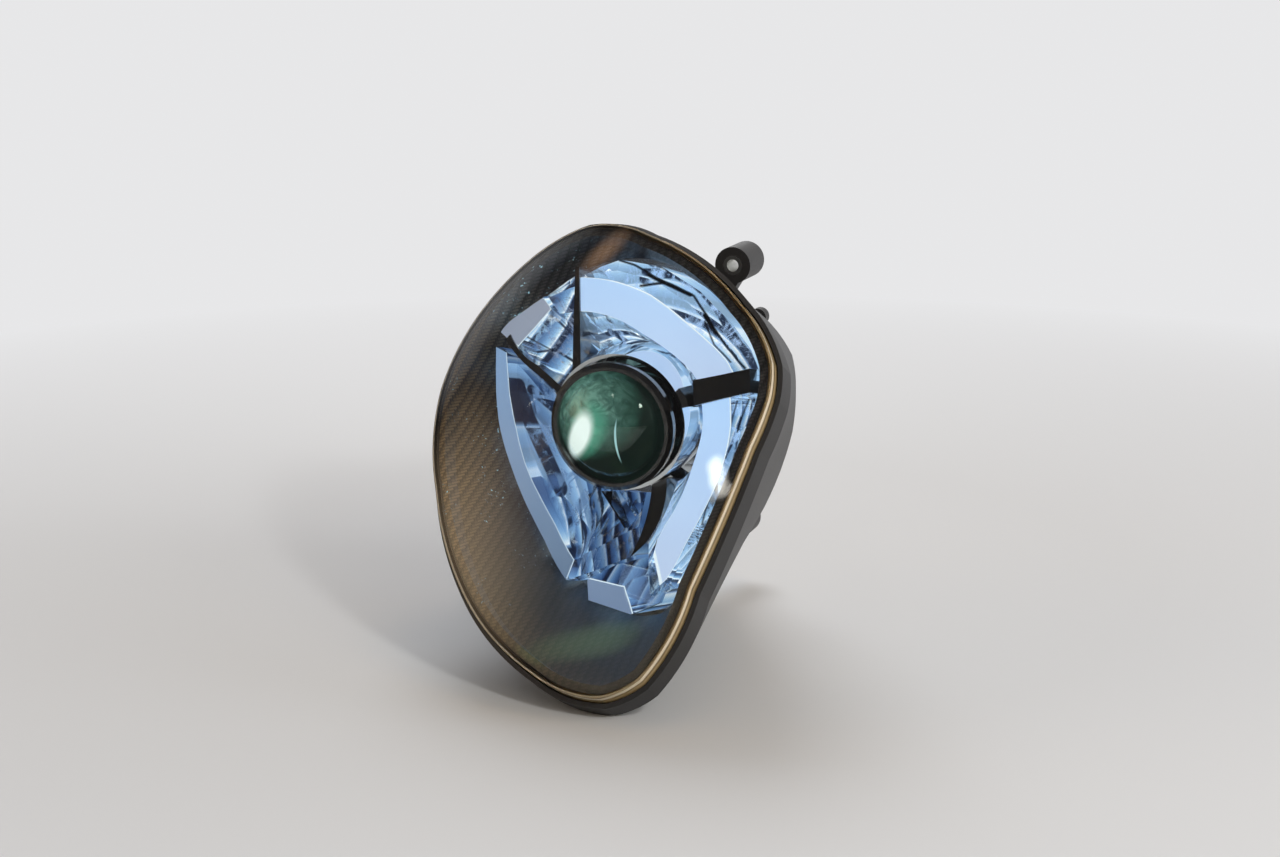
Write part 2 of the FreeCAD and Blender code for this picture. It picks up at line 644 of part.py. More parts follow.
def housing_rear():
    shoulder = REAR_WALL_Y - REAR_CHAMFER
    outer = [
        waist(FLANGE_WIDTH, WAIST_Y),
        waist(FLANGE_WIDTH, WAIST_Y + FLANGE_THICKNESS),
        waist(0, WAIST_Y + FLANGE_THICKNESS),
        rear(0, shoulder),
        rear(-REAR_CHAMFER, REAR_WALL_Y),
    ]
    inner = [
        waist(-WALL, WAIST_Y),
        rear(-WALL, shoulder),
        rear(-REAR_CHAMFER - 1, REAR_WALL_Y - WALL),
    ]
    shell = cup_solid(outer, inner)
    cavity_edges = [arcs(points) for points in inner]
    cavity = closed_solid(
        [Part.makeRuledSurface(p, q) for k in (1, 2) for p, q in zip(cavity_edges[k - 1], cavity_edges[k])]
        + [Part.Face(Part.Wire(cavity_edges[0])), Part.Face(Part.Wire(cavity_edges[-1]))])
    rear_x = [row[-2] for row in OUTLINE]
    rear_z = [row[-1] for row in OUTLINE]
    middle_x = (max(rear_x) + min(rear_x)) / 2
    middle_z = (max(rear_z) + min(rear_z)) / 2
    for place in lug_places():
        boss = rod(LUG_RADIUS, -LUG_LENGTH, -BUSH_PROUD, place.x, place.z)
        inward = Vector(middle_x - place.x, 0, middle_z - place.z)
        length = min(LUG_WEB_LENGTH, inward.Length)
        side = Vector(-inward.z, 0, inward.x).normalize() * (LUG_WEB_WIDTH / 2)
        start = Vector(place.x, -LUG_LENGTH, place.z)
        end = start + inward * (length / inward.Length)
        corners = [start - side, start + side, end + side, end - side]
        web = polygon_prism(corners, Y * (LUG_LENGTH + REAR_WALL_Y))
        inward = inward.normalize()
        side = side.normalize() * GUSSET_THICKNESS
        root = Vector(place.x, REAR_WALL_Y, place.z) - side * 0.5
        top = Vector(0, GUSSET_TOP_Y - REAR_WALL_Y, 0)
        gusset = polygon_prism([root, root + top, root + top + inward * LUG_RADIUS,
                                root + inward * (LUG_RADIUS + GUSSET_REACH)], side)
        shell = shell.fuse(boss.fuse(web).fuse(gusset).cut(cavity))
    shell = shell.fuse(rod(AIM_BOSS_RADIUS, AIM_BOSS_FRONT_Y, AIM_BOSS_BACK_Y, -AIM_ARM, 0))
    skirt = rod(CAP_RADIUS + CAP_SKIRT_GAP + CAP_SKIRT_WALL, REAR_WALL_Y, REAR_WALL_Y + CAP_SKIRT_HEIGHT)
    shell = shell.fuse(skirt.cut(rod(CAP_RADIUS + CAP_SKIRT_GAP, REAR_WALL_Y, 0)))
    holes = [rod(BUSH_RADIUS, -LUG_LENGTH - 4 * OVERRUN, OVERRUN, p.x, p.z) for p in lug_places()]
    wall_front = REAR_WALL_Y - 2 * OVERRUN
    wall_back = REAR_WALL_Y + OVERRUN
    holes.append(rod(CAP_SPIGOT_RADIUS + HOLE_CLEARANCE, wall_front, wall_back))
    holes.append(rod(MOTOR_RADIUS + HOLE_CLEARANCE, wall_front, wall_back, 0, -LEVEL_ARM))
    holes.append(rod(AIM_ROD["rod"] + PIN_CLEARANCE, AIM_BOSS_FRONT_Y - OVERRUN,
                     AIM_BOSS_BACK_Y + OVERRUN, -AIM_ARM, 0))
    for hole in holes:
        shell = shell.cut(hole)
    return with_ears(shell, WAIST_Y, WAIST_Y + FLANGE_THICKNESS).removeSplitter()


def mount_bushes():
    bushes = []
    for place in lug_places():
        bush = rod(BUSH_RADIUS, -LUG_LENGTH, 0, place.x, place.z)
        bore = rod(BOLT_HOLE_RADIUS, -LUG_LENGTH - OVERRUN, OVERRUN, place.x, place.z)
        bushes.append(bush.cut(bore))
    return Part.makeCompound(bushes)


def backing_plate():
    front = foot(BACKING_MARGIN, CRYSTAL_DEPTH)
    plate = Part.Face(Part.Wire(arcs(front))).extrude(PLANE_N * -BACKING_THICKNESS)
    return plate.cut(rod(COLLAR_BACK_RADIUS - COLLAR_WALL, -COVER_AHEAD, 0))


def crystal_section(row):
    """Corners of a crystal's section, round from the foot at the back to the outer back."""
    angle, foot_r, band_inner, band_outer, crest, shoulder, front = row
    turn = math.radians(angle)
    corners = [
        (foot_r, CRYSTAL_DEPTH),
        (foot_r, CRYSTAL_FOOT_DEPTH),
        (band_inner, front),
        (band_outer, front),
        (crest, front + CRYSTAL_CREST_DROP),
        (shoulder, CRYSTAL_SHOULDER_DEPTH),
        (shoulder, CRYSTAL_DEPTH),
    ]
    return [on_plane(r * math.cos(turn), r * math.sin(turn), depth) for r, depth in corners]


def smooth_run(points):
    """Arcs through the points in turn, each bent so that it meets its neighbours smoothly."""
    last = len(points) - 1
    tangents = []
    for i in range(last + 1):
        tangents.append((points[min(i + 1, last)] - points[max(i - 1, 0)]).normalize())
    edges = []
    for i in range(last):
        length = (points[i + 1] - points[i]).Length
        middle = (points[i] + points[i + 1]) * 0.5 + (tangents[i] - tangents[i + 1]) * (length / 8)
        edges.append(arc(points[i], middle, points[i + 1]))
    return edges


def facet_run(points):
    return [Part.LineSegment(p, q).toShape() for p, q in zip(points, points[1:])]


def crystal(rows):
    """Ruled faces between the sections: smooth along the band's two edges, cut flat elsewhere."""
    sections = [crystal_section(row) for row in rows]
    runs = []
    for c in range(len(sections[0])):
        corner_path = [section[c] for section in sections]
        runs.append(smooth_run(corner_path) if c in SMOOTH_CORNERS else facet_run(corner_path))
    faces = []
    for c in range(len(runs)):
        for lower, upper in zip(runs[c - 1], runs[c]):
            faces.append(Part.makeRuledSurface(lower, upper))
    for end in (sections[0], sections[-1]):
        faces.append(Part.Face(Part.makePolygon(end + end[:1])))
    return closed_solid(faces)


def crystal_bottom():
    """Block with a flat front and a slope on the left of each ridge's direction."""
    block = plane_prism(CRYSTAL_BOTTOM, CRYSTAL_BOTTOM_FRONT, CRYSTAL_DEPTH)
    back = CRYSTAL_BOTTOM_FRONT + CRYSTAL_BOTTOM_FALL
    for a0, b0, a1, b1 in CRYSTAL_BOTTOM_RIDGES:
        across = Vector(b0 - b1, a1 - a0, 0).normalize() * CRYSTAL_BOTTOM_REACH
        slope = [
            on_plane(a0, b0, CRYSTAL_BOTTOM_FRONT),
            on_plane(a1, b1, CRYSTAL_BOTTOM_FRONT),
            on_plane(a1 + across.x, b1 + across.y, back),
            on_plane(a0 + across.x, b0 + across.y, back),
        ]
        block = block.cut(polygon_prism(slope, PLANE_N * CRYSTAL_DEPTH))
    return block


def spoke(name):
    shape = SPOKES[name]
    block = arc_prism(shape["outline"], shape["front"], CRYSTAL_DEPTH)
    if name == "inboard":
        block = block.fuse(arc_prism(STUB["outline"], STUB["front"], CRYSTAL_DEPTH)).removeSplitter()
    return block


def collar_profile(gap):
    return [
        (0, COLLAR_FRONT_Y - gap),
        (COLLAR_FRONT_RADIUS + gap, COLLAR_FRONT_Y - gap),
        (COLLAR_FLARE_RADIUS + gap, COLLAR_FLARE_Y),
        (COLLAR_BACK_RADIUS + gap, COLLAR_BACK_Y),
        (0, COLLAR_BACK_Y),
    ]


def collar():
    bore = [
        (0, COLLAR_FRONT_Y - 1),
        (COLLAR_FRONT_RADIUS - COLLAR_WALL, COLLAR_FRONT_Y - 1),
        (COLLAR_FLARE_RADIUS - COLLAR_WALL, COLLAR_FLARE_Y),
        (COLLAR_BACK_RADIUS - COLLAR_WALL, COLLAR_BACK_Y + 1),
        (0, COLLAR_BACK_Y + 1),
    ]
    return turned(collar_profile(0)).cut(turned(bore)).cut(behind_plane(CRYSTAL_DEPTH))


def projector_lens():
    dome = Part.makeSphere(DOME_RADIUS, Vector(0, DOME_FRONT_Y + DOME_RADIUS, 0))
    return dome.common(rod(LENS_RADIUS, DOME_FRONT_Y - 1, LENS_BACK_Y))


def lens_ring():
    return turned([
        (RING_RADIUS, RING_BACK_Y),
        (RING_RADIUS, RING_FRONT_Y + RING_ROUND),
        (RING_RADIUS - RING_ROUND, RING_FRONT_Y),
        (RING_APERTURE, RING_FRONT_Y),
        (RING_APERTURE, RING_FRONT_Y + RING_LIP),
        (LENS_RADIUS + LENS_GAP, RING_FRONT_Y + RING_LIP),
        (LENS_RADIUS + LENS_GAP, RING_BACK_Y),
    ])


def projector_barrel():
    inner = BARREL_RADIUS - BARREL_WALL
    return turned([
        (inner, LENS_BACK_Y),
        (BARREL_SEAT_RADIUS, LENS_BACK_Y),
        (BARREL_SEAT_RADIUS, LENS_BACK_Y + BARREL_FLANGE),
        (BARREL_RADIUS, LENS_BACK_Y + BARREL_FLANGE),
        (BARREL_RADIUS, BARREL_BACK_Y - BARREL_FLANGE),
        (REFLECTOR_RADIUS, BARREL_BACK_Y - BARREL_FLANGE),
        (REFLECTOR_RADIUS, BARREL_BACK_Y),
        (inner, BARREL_BACK_Y),
    ])


def projector_reflector():
    outer = turned([
        (0, BARREL_BACK_Y),
        (REFLECTOR_RADIUS, BARREL_BACK_Y),
        (REFLECTOR_RADIUS, BARREL_BACK_Y + BARREL_FLANGE),
        (REFLECTOR_RADIUS - REFLECTOR_STEP, BARREL_BACK_Y + BARREL_FLANGE, REFLECTOR_BULGE),
        (LIGHT_SOURCE_RADIUS + REFLECTOR_REST, REFLECTOR_BACK_Y),
        (0, REFLECTOR_BACK_Y),
    ])
    bowl_radius = REFLECTOR_RADIUS - REFLECTOR_STEP - WALL
    inner = turned([
        (0, BARREL_BACK_Y - 1),
        (bowl_radius, BARREL_BACK_Y - 1),
        (bowl_radius, BARREL_BACK_Y + BARREL_FLANGE, REFLECTOR_BULGE),
        (LIGHT_SOURCE_RADIUS, REFLECTOR_BACK_Y - WALL),
        (0, REFLECTOR_BACK_Y - WALL),
    ])
    pins = []
    start = LIGHT_SOURCE_RADIUS
    for sign in (1, -1):
        pins.append(Part.makeCylinder(AIM_PIN_RADIUS, FRAME_HALF - start, Vector(0, PIVOT_Y, sign * start),
                                      Z * sign))
    body = outer
    for pin in pins:
        body = body.fuse(pin)
    reach = AIM_ARM + AIM_ROD["ball"] + AIM_ROD["socket_gap"] + AIM_SOCKET_WALL
    lug = box(-(reach + start) / 2, 0, reach - start, AIM_LUG_WIDTH,
              AIM_SOCKET_Y - AIM_LUG_HALF_LENGTH, AIM_SOCKET_Y + AIM_LUG_HALF_LENGTH)
    body = body.fuse(lug).cut(inner)
    return body.cut(socket(AIM_ROD, -AIM_ARM, AIM_SOCKET_Y, 0)).removeSplitter()


def socket(size, x, y, z):
    """Ball socket that opens to the back."""
    ball = Part.makeSphere(size["ball"] + size["socket_gap"], Vector(x, y, z))
    return ball.fuse(rod(size["mouth"], y, y + SOCKET_MOUTH_RUN, x, z))


def light_source():
    return rod(LIGHT_SOURCE_RADIUS, REFLECTOR_BACK_Y, REFLECTOR_BACK_Y + LIGHT_SOURCE_THICKNESS)


def heat_sink():
    front = REFLECTOR_BACK_Y + LIGHT_SOURCE_THICKNESS
    sink = box(0, 0, SINK_SIZE, SINK_SIZE, front, front + SINK_BASE)
    pitch = (SINK_SIZE - SINK_FIN_THICKNESS) / (SINK_FINS - 1)
    for i in range(SINK_FINS):
        x = -(SINK_SIZE - SINK_FIN_THICKNESS) / 2 + i * pitch
        sink = sink.fuse(box(x, 0, SINK_FIN_THICKNESS, SINK_SIZE, front + SINK_BASE, front + SINK_LENGTH))
    return sink.removeSplitter()


def rounded_block(half, corner, front_y, back_y):
    block = box(0, 0, 2 * half, 2 * half, front_y, back_y)
    edges = [e for e in block.Edges if abs(e.tangentAt(e.FirstParameter).y) > 0.5]
    return block.makeFillet(corner, edges)


def gimbal_frame():
    front = PIVOT_Y - FRAME_LENGTH / 2
    back = PIVOT_Y + FRAME_LENGTH / 2
    inner = FRAME_HALF - FRAME_BAR
    frame = rounded_block(FRAME_HALF, FRAME_CORNER, front, back)
    frame = frame.cut(rounded_block(inner, FRAME_CORNER - FRAME_BAR / 2, front - 1, back + 1))
    for sign in (1, -1):
        start = Vector(sign * (FRAME_HALF - 1), PIVOT_Y, 0)
        frame = frame.fuse(Part.makeCylinder(LEVEL_PIN_RADIUS, LEVEL_PIN_LENGTH + 1, start, X * sign))
    top = FRAME_HALF - 2
    bottom = LEVEL_ARM + LEVEL_ROD["ball"] + LEVEL_ROD["socket_gap"] + LEVEL_SOCKET_WALL
    lug = box(0, -(top + bottom) / 2, LEVEL_LUG_WIDTH, bottom - top,
              PIVOT_Y - LEVEL_LUG_AHEAD, PIVOT_Y + LEVEL_LUG_BEHIND)
    frame = frame.fuse(lug)
    frame = frame.cut(socket(LEVEL_ROD, 0, PIVOT_Y, -LEVEL_ARM))
    hole = Part.makeCylinder(AIM_PIN_RADIUS + PIN_CLEARANCE, 2 * FRAME_HALF + 4,
                             Vector(0, PIVOT_Y, -FRAME_HALF - 2), Z)
    return frame.cut(hole).removeSplitter()


def pivot_brackets():
    brackets = []
    for sign in (1, -1):
        inner = FRAME_HALF + BRACKET_GAP
        plate = box(sign * (inner + BRACKET_THICKNESS / 2), 0, BRACKET_THICKNESS, 2 * BRACKET_HALF_HEIGHT,
                    BRACKET_FRONT_Y, BRACKET_BACK_Y)
        plate = plate.common(behind_plane(CRYSTAL_DEPTH + BACKING_THICKNESS))
        hole = Part.makeCylinder(LEVEL_PIN_RADIUS + PIN_CLEARANCE, BRACKET_THICKNESS + 2 * OVERRUN,
                                 Vector(sign * (inner - OVERRUN), PIVOT_Y, 0), X * sign)
        brackets.append(plate.cut(hole))
    return Part.makeCompound(brackets)


def leveller_rod():
    ball = Part.makeSphere(LEVEL_ROD["ball"], Vector(0, PIVOT_Y, -LEVEL_ARM))
    return ball.fuse(rod(LEVEL_ROD["rod"], PIVOT_Y, LEVEL_ROD_BACK_Y, 0, -LEVEL_ARM))


def leveller_motor():
    z = -LEVEL_ARM
    body = rod(MOTOR_RADIUS, MOTOR_FRONT_Y, REAR_WALL_Y, 0, z)
    body = body.fuse(rod(MOTOR_FLANGE_RADIUS, REAR_WALL_Y, REAR_WALL_Y + MOTOR_FLANGE, 0, z))
    size_x, length, size_z = MOTOR_BOX
    front = REAR_WALL_Y + MOTOR_FLANGE
    body = body.fuse(box(0, z, size_x, size_z, front, front + length))
    bore = rod(LEVEL_ROD["rod"] + PIN_CLEARANCE, MOTOR_FRONT_Y - 1, MOTOR_BORE_END_Y, 0, z)
    return body.cut(bore).removeSplitter()


def aim_rod():
    ball = Part.makeSphere(AIM_ROD["ball"], Vector(-AIM_ARM, AIM_SOCKET_Y, 0))
    shaft = rod(AIM_ROD["rod"], AIM_SOCKET_Y, AIM_KNOB_BACK_Y, -AIM_ARM, 0)
    corners = hexagon(AIM_KNOB_RADIUS, -AIM_ARM, AIM_KNOB_FRONT_Y, 0)
    knob = polygon_prism(corners, Y * (AIM_KNOB_BACK_Y - AIM_KNOB_FRONT_Y))
    return ball.fuse(shaft).fuse(knob).removeSplitter()


def service_cap():
    cap = rod(CAP_RADIUS, REAR_WALL_Y, REAR_WALL_Y + CAP_HEIGHT)
    cap = cap.fuse(rod(CAP_SPIGOT_RADIUS, REAR_WALL_Y - CAP_SPIGOT, REAR_WALL_Y))
    cap = cap.cut(rod(CAP_SPIGOT_RADIUS - CAP_WALL, REAR_WALL_Y - CAP_SPIGOT - 1,
                      REAR_WALL_Y + CAP_HEIGHT - CAP_WALL))
    length, thickness, height = CAP_GRIP
    back = REAR_WALL_Y + CAP_HEIGHT
    return cap.fuse(box(0, 0, length, thickness, back - 1, back + height - 1)).removeSplitter()


def connector():
    x, z = CONNECTOR_AT
    size_x, length, size_z = CONNECTOR_SIZE
    back = REAR_WALL_Y + length
    shell = box(x, z, size_x, size_z, REAR_WALL_Y, back)
    hollow = box(x, z, size_x - 2 * CONNECTOR_WALL, size_z - 2 * CONNECTOR_WALL,
                 REAR_WALL_Y + CONNECTOR_FLOOR, back + 1)
    return shell.cut(hollow)


def control_unit():
    x, z = CONTROL_UNIT_AT
    size_x, length, size_z = CONTROL_UNIT_SIZE
    unit = box(x, z, size_x, size_z, REAR_WALL_Y, REAR_WALL_Y + length / 2)
    pitch = (size_z - CONTROL_UNIT_FIN) / (CONTROL_UNIT_FINS - 1)
    for i in range(CONTROL_UNIT_FINS):
        fin_z = z - (size_z - CONTROL_UNIT_FIN) / 2 + i * pitch
        unit = unit.fuse(box(x, fin_z, size_x, CONTROL_UNIT_FIN, REAR_WALL_Y, REAR_WALL_Y + length))
    return unit.removeSplitter()


def vent_cap():
    x, z = VENT_AT
    brim = REAR_WALL_Y + VENT_HEIGHT - VENT_BRIM
    stem = rod(VENT_RADIUS / 2, REAR_WALL_Y, brim, x, z)
    return stem.fuse(rod(VENT_RADIUS, brim, REAR_WALL_Y + VENT_HEIGHT, x, z))


def led_boards():
    boards = []
    depth = CRYSTAL_DEPTH + BACKING_THICKNESS
    half, rise = BOARD_LENGTH / 2, BOARD_WIDTH / 2
    for angle in BOARD_ANGLES:
        turn = math.radians(angle)
        a = BOARD_CIRCLE * math.cos(turn)
        b = BOARD_CIRCLE * math.sin(turn)
        outline = [(a - half, b - rise), (a + half, b - rise), (a + half, b + rise), (a - half, b + rise)]
        boards.append(plane_prism(outline, depth, depth + BOARD_THICKNESS))
    return Part.makeCompound(boards)


def build():
    nodes = {
        "cover_lens": cover_lens(),
        "cover_seal": cover_seal(),
        "bezel_bowl": bezel_bowl(),
        "housing_front": housing_front(),
        "housing_rear": housing_rear(),
        "mount_bushes": mount_bushes(),
        "flange_screws": flange_screws(),
        "backing_plate": backing_plate(),
        "led_boards": led_boards(),
        "collar": collar(),
        "projector_lens": projector_lens(),
        "lens_ring": lens_ring(),
        "projector_barrel": projector_barrel(),
        "projector_reflector": projector_reflector(),
        "light_source": light_source(),
        "heat_sink": heat_sink(),
        "gimbal_frame": gimbal_frame(),
        "pivot_brackets": pivot_brackets(),
        "leveller_rod": leveller_rod(),
        "leveller_motor": leveller_motor(),
        "aim_rod": aim_rod(),
        "service_cap": service_cap(),
        "connector": connector(),
        "control_unit": control_unit(),
        "vent_cap": vent_cap(),
    }
    envelope = turned(collar_profile(SPOKE_GAP))
    spokes = {}
    for name in SPOKES:
        spokes[name] = spoke(name).cut(envelope)
        nodes["spoke_" + name] = spokes[name]
    bottom = crystal_bottom().cut(envelope)
    nodes["crystal_bottom"] = bottom
    for name, rows in CRYSTALS.items():
        shape = crystal(rows).cut(envelope).cut(bottom)
        for line in CRYSTAL_LIMITS[name]:
            shape = shape.cut(half_block(line))
        for block in spokes.values():
            shape = shape.cut(block)
        if name == "crystal_left":
            shape = shape.cut(plane_prism(GROOVE, -1, GROOVE_DEPTH))
        nodes[name] = max(shape.Solids, key=lambda solid: solid.Volume)
    return nodes


os.makedirs("parts", exist_ok=True)
for node, shape in build().items():
    shape.translate(OPTICAL_AXIS)
    shape.exportStep("parts/" + node + ".step")
    print(node, len(shape.Solids), round(shape.Volume), shape.isValid(),
          [round(c, 1) for c in (shape.BoundBox.XMin, shape.BoundBox.YMin, shape.BoundBox.ZMin,
                                 shape.BoundBox.XMax, shape.BoundBox.YMax, shape.BoundBox.ZMax)])
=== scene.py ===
# %% [markdown]
# # A supercar's headlamp
# The part is a raked front headlamp: a clear barrel-shaped cover over a carbon-fibre bowl,
# with five cut crystals round a projector lens that swings in a gimbal. The solids come packed
# from the construction model, already in place and in metres. This lesson dresses them: it
# gives each piece its finish, adds the small things that a mould or a cutter leaves, and sets
# up the studio in which the lamp is seen.

# %% Load the solids
import math

import bmesh
import bpy
import numpy as np
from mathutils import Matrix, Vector


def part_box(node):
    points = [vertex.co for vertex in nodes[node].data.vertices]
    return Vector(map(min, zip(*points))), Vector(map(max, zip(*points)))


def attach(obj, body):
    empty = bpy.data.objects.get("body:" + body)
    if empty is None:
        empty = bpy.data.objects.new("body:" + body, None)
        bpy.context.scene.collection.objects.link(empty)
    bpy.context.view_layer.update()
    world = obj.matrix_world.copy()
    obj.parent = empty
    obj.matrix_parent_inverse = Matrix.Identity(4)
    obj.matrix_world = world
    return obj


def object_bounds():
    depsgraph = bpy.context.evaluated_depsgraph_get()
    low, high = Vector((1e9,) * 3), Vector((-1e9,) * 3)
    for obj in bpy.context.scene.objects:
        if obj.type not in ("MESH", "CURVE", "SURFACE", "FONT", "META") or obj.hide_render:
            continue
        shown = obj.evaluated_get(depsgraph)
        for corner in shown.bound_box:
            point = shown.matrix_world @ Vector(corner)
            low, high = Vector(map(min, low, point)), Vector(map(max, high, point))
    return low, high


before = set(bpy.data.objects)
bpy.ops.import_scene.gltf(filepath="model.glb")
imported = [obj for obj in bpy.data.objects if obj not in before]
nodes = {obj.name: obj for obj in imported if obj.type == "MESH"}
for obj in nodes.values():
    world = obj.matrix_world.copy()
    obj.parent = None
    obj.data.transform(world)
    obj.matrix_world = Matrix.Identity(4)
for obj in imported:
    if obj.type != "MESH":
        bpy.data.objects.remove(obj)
cad_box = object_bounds()
print("nodes", len(nodes), "box", [round(c, 4) for corner in cad_box for c in corner])

# %% [markdown]
# ## The lamp's own directions
# The optical axis runs from front to back through the middle of the projector's lens. It is read
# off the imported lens, so every formula below follows the construction model.

# %% Directions and the optical axis
INBOARD = Vector((1.0, 0.0, 0.0))
BACKWARDS = Vector((0.0, 1.0, 0.0))
UP = Vector((0.0, 0.0, 1.0))
ORIGIN = Vector((0.0, 0.0, 0.0))


def middle(low, high):
    """Inboard and up of the middle of a box."""
    return (low.x + high.x) / 2, (low.z + high.z) / 2


lens_low, lens_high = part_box("projector_lens")
AXIS_X, AXIS_Z = middle(lens_low, lens_high)
AXIS_POINT = Vector((AXIS_X, 0.0, AXIS_Z))
print("optical axis at", round(AXIS_X, 4), round(AXIS_Z, 4))

# %% [markdown]
# ## The camera
# The photograph was taken from about a metre and a half in front of the lamp, a little above it
# and from the inboard side. A camera could be aimed with a constraint, but a plain position and
# a direction from two angles say the same thing and can be read back.

# %% The camera
CAMERA_PLACE = Vector((0.5139, -1.4695, 0.3249))
CAMERA_AZIMUTH = math.radians(20.21)
CAMERA_ELEVATION = math.radians(13.0)
CAMERA_LENS = 60.6
CAMERA_SENSOR = 36.0


def direction(azimuth, elevation):
    """Unit vector from the lamp towards a viewer: azimuth 0 is straight ahead, turning inboard."""
    return Vector((math.sin(azimuth) * math.cos(elevation),
                   -math.cos(azimuth) * math.cos(elevation),
                   math.sin(elevation)))


def aimed(way):
    """The turn that points a camera's or a lamp's own -Z along that way."""
    return way.to_track_quat("-Z", "Y").to_euler()


def new_object(name, data):
    item = bpy.data.objects.new(name, data)
    bpy.context.scene.collection.objects.link(item)
    return item


camera = new_object("camera", bpy.data.cameras.new("camera"))
camera.data.lens = CAMERA_LENS
camera.data.sensor_width = CAMERA_SENSOR
camera.location = CAMERA_PLACE
camera.rotation_euler = aimed(-direction(CAMERA_AZIMUTH, CAMERA_ELEVATION))
bpy.context.scene.camera = camera
print("camera", [round(c, 3) for c in camera.location])

# %% [markdown]
# ## Shader maths as Python
# A material here is a formula: weave, ripple and dust are numbers worked out at each point of
# a surface. Wiring Math nodes by hand hides the formula, so one small class wraps a socket and
# lets plain operators add the nodes. Vectors and colours keep to Vector Math and Mix, because a
# Math node would turn a colour grey.

# %% Sockets with operators
class Value:
    """One output socket of a node tree, on which Python's operators add Math nodes."""

    def __init__(self, tree, socket):
        self.tree = tree
        self.socket = socket

    def math(self, operation, *others, clamp=False):
        node = self.tree.add("ShaderNodeMath", dict(operation=operation, use_clamp=clamp),
                             dict(enumerate((self,) + others)))
        return Value(self.tree, node.outputs[0])

    def __add__(self, other):
        return self.math("ADD", other)

    def __sub__(self, other):
        return self.math("SUBTRACT", other)

    def __rsub__(self, other):
        return (self * -1.0) + other

    def __mul__(self, other):
        return self.math("MULTIPLY", other)

    def __truediv__(self, other):
        return self.math("DIVIDE", other)

    __radd__ = __add__
    __rmul__ = __mul__

    def rise(self, start, end):
        """0 at the start and 1 at the end, straight between them and level beyond."""
        return self.math("SUBTRACT", start).math("DIVIDE", end - start, clamp=True)

    def above(self, edge, soft):
        """0 below the edge and 1 above it, rising over a width of soft."""
        return self.rise(edge - soft / 2, edge + soft / 2)

    def at_least(self, limit):
        return self.math("MAXIMUM", limit)

    def at_most(self, limit):
        return self.math("MINIMUM", limit)

    def root(self):
        return self.math("SQRT")

    def sine(self):
        return self.math("SINE")

    def whole(self):
        return self.math("FLOOR")

    def fraction(self):
        return self.math("FRACT")


# %% [markdown]
# ## One way to add any node
# One method adds each node of a tree, sets its options and fills its sockets. The others name
# what the finishes below ask for: a place, a distance along an axis, noise, a mix.

# %% Node trees
# The Mix node has a set of sockets for each kind of data; these are its colours
MIX_A = 6
MIX_B = 7
MIX_RESULT = 2


class Tree:
    """The node tree of a material or a world, emptied first."""

    def __init__(self, owner):
        owner.use_nodes = True
        self.tree = owner.node_tree
        self.tree.nodes.clear()

    def add(self, kind, settings=None, inputs=None):
        """A node of that type: its settings first, then the values or links of its sockets."""
        node = self.tree.nodes.new(kind)
        for name, value in (settings or {}).items():
            setattr(node, name, value)
        for name, value in (inputs or {}).items():
            socket = node.inputs[name]
            if isinstance(value, Value):
                value = value.socket
            if isinstance(value, bpy.types.NodeSocket):
                self.tree.links.new(value, socket)
            elif socket.type == "RGBA":
                socket.default_value = tuple(value) + (1.0,)
            else:
                socket.default_value = value
        return node

    def value(self, node, output):
        return Value(self, node.outputs[output])

    def place(self):
        """The point on the object, in metres."""
        return self.add("ShaderNodeTexCoord").outputs["Object"]

    def along(self, vector, axis, origin=ORIGIN):
        """How far the point lies along an axis, counted from the origin."""
        node = self.add("ShaderNodeVectorMath", dict(operation="DOT_PRODUCT"), {0: vector, 1: axis})
        return self.value(node, "Value") - axis.dot(origin)

    def facing(self, axis):
        """1 where the face lies square to the axis, 0 where it runs along it."""
        normal = self.add("ShaderNodeNewGeometry").outputs["True Normal"]
        return self.along(normal, axis).math("ABSOLUTE")

    def vector(self, x, y):
        return self.add("ShaderNodeCombineXYZ", inputs={0: x, 1: y}).outputs[0]

    def noise(self, vector, scale, detail=2.0, roughness=0.5, distortion=0.0):
        node = self.add("ShaderNodeTexNoise", inputs={
            "Vector": vector, "Scale": scale, "Detail": detail, "Roughness": roughness,
            "Distortion": distortion})
        return self.value(node, "Fac")

    def ramp(self, factor, stops):
        """The colour read off a ramp whose stops are (place, colour)."""
        node = self.add("ShaderNodeValToRGB", inputs={0: factor})
        elements = node.color_ramp.elements
        while len(elements) < len(stops):
            elements.new(1.0)
        for element, (place, colour) in zip(elements, stops):
            element.position = place
            element.color = tuple(colour) + (1.0,)
        return node.outputs[0]

    def mix(self, factor, first, second, blend_type="MIX"):
        """The first colour where the factor is 0 and the second where it is 1."""
        node = self.add("ShaderNodeMix", dict(data_type="RGBA", blend_type=blend_type),
                        {0: factor, MIX_A: first, MIX_B: second})
        return node.outputs[MIX_RESULT]

    def tinted(self, colour, tint, amount=1.0):
        """The colour multiplied by the tint."""
        return self.mix(amount, colour, tint, "MULTIPLY")

    def bump(self, height, distance, strength):
        return self.add("ShaderNodeBump", inputs={
            "Height": height, "Distance": distance, "Strength": strength}).outputs[0]

    def principled(self, **inputs):
        named = {name.replace("_", " ").title().replace("Ior", "IOR"): v for name, v in inputs.items()}
        return self.add("ShaderNodeBsdfPrincipled", inputs=named).outputs[0]

    def blend(self, factor, first, second):
        """The first shader where the factor is 0 and the second where it is 1."""
        return self.add("ShaderNodeMixShader", inputs={0: factor, 1: first, 2: second}).outputs[0]

    def surface(self, shader, kind="ShaderNodeOutputMaterial"):
        self.add(kind, inputs={"Surface": shader})


# %% Materials
BLACK = (0.0, 0.0, 0.0)
WHITE = (1.0, 1.0, 1.0)


def new_material(name):
    material = bpy.data.materials.new(name)
    return material, Tree(material)


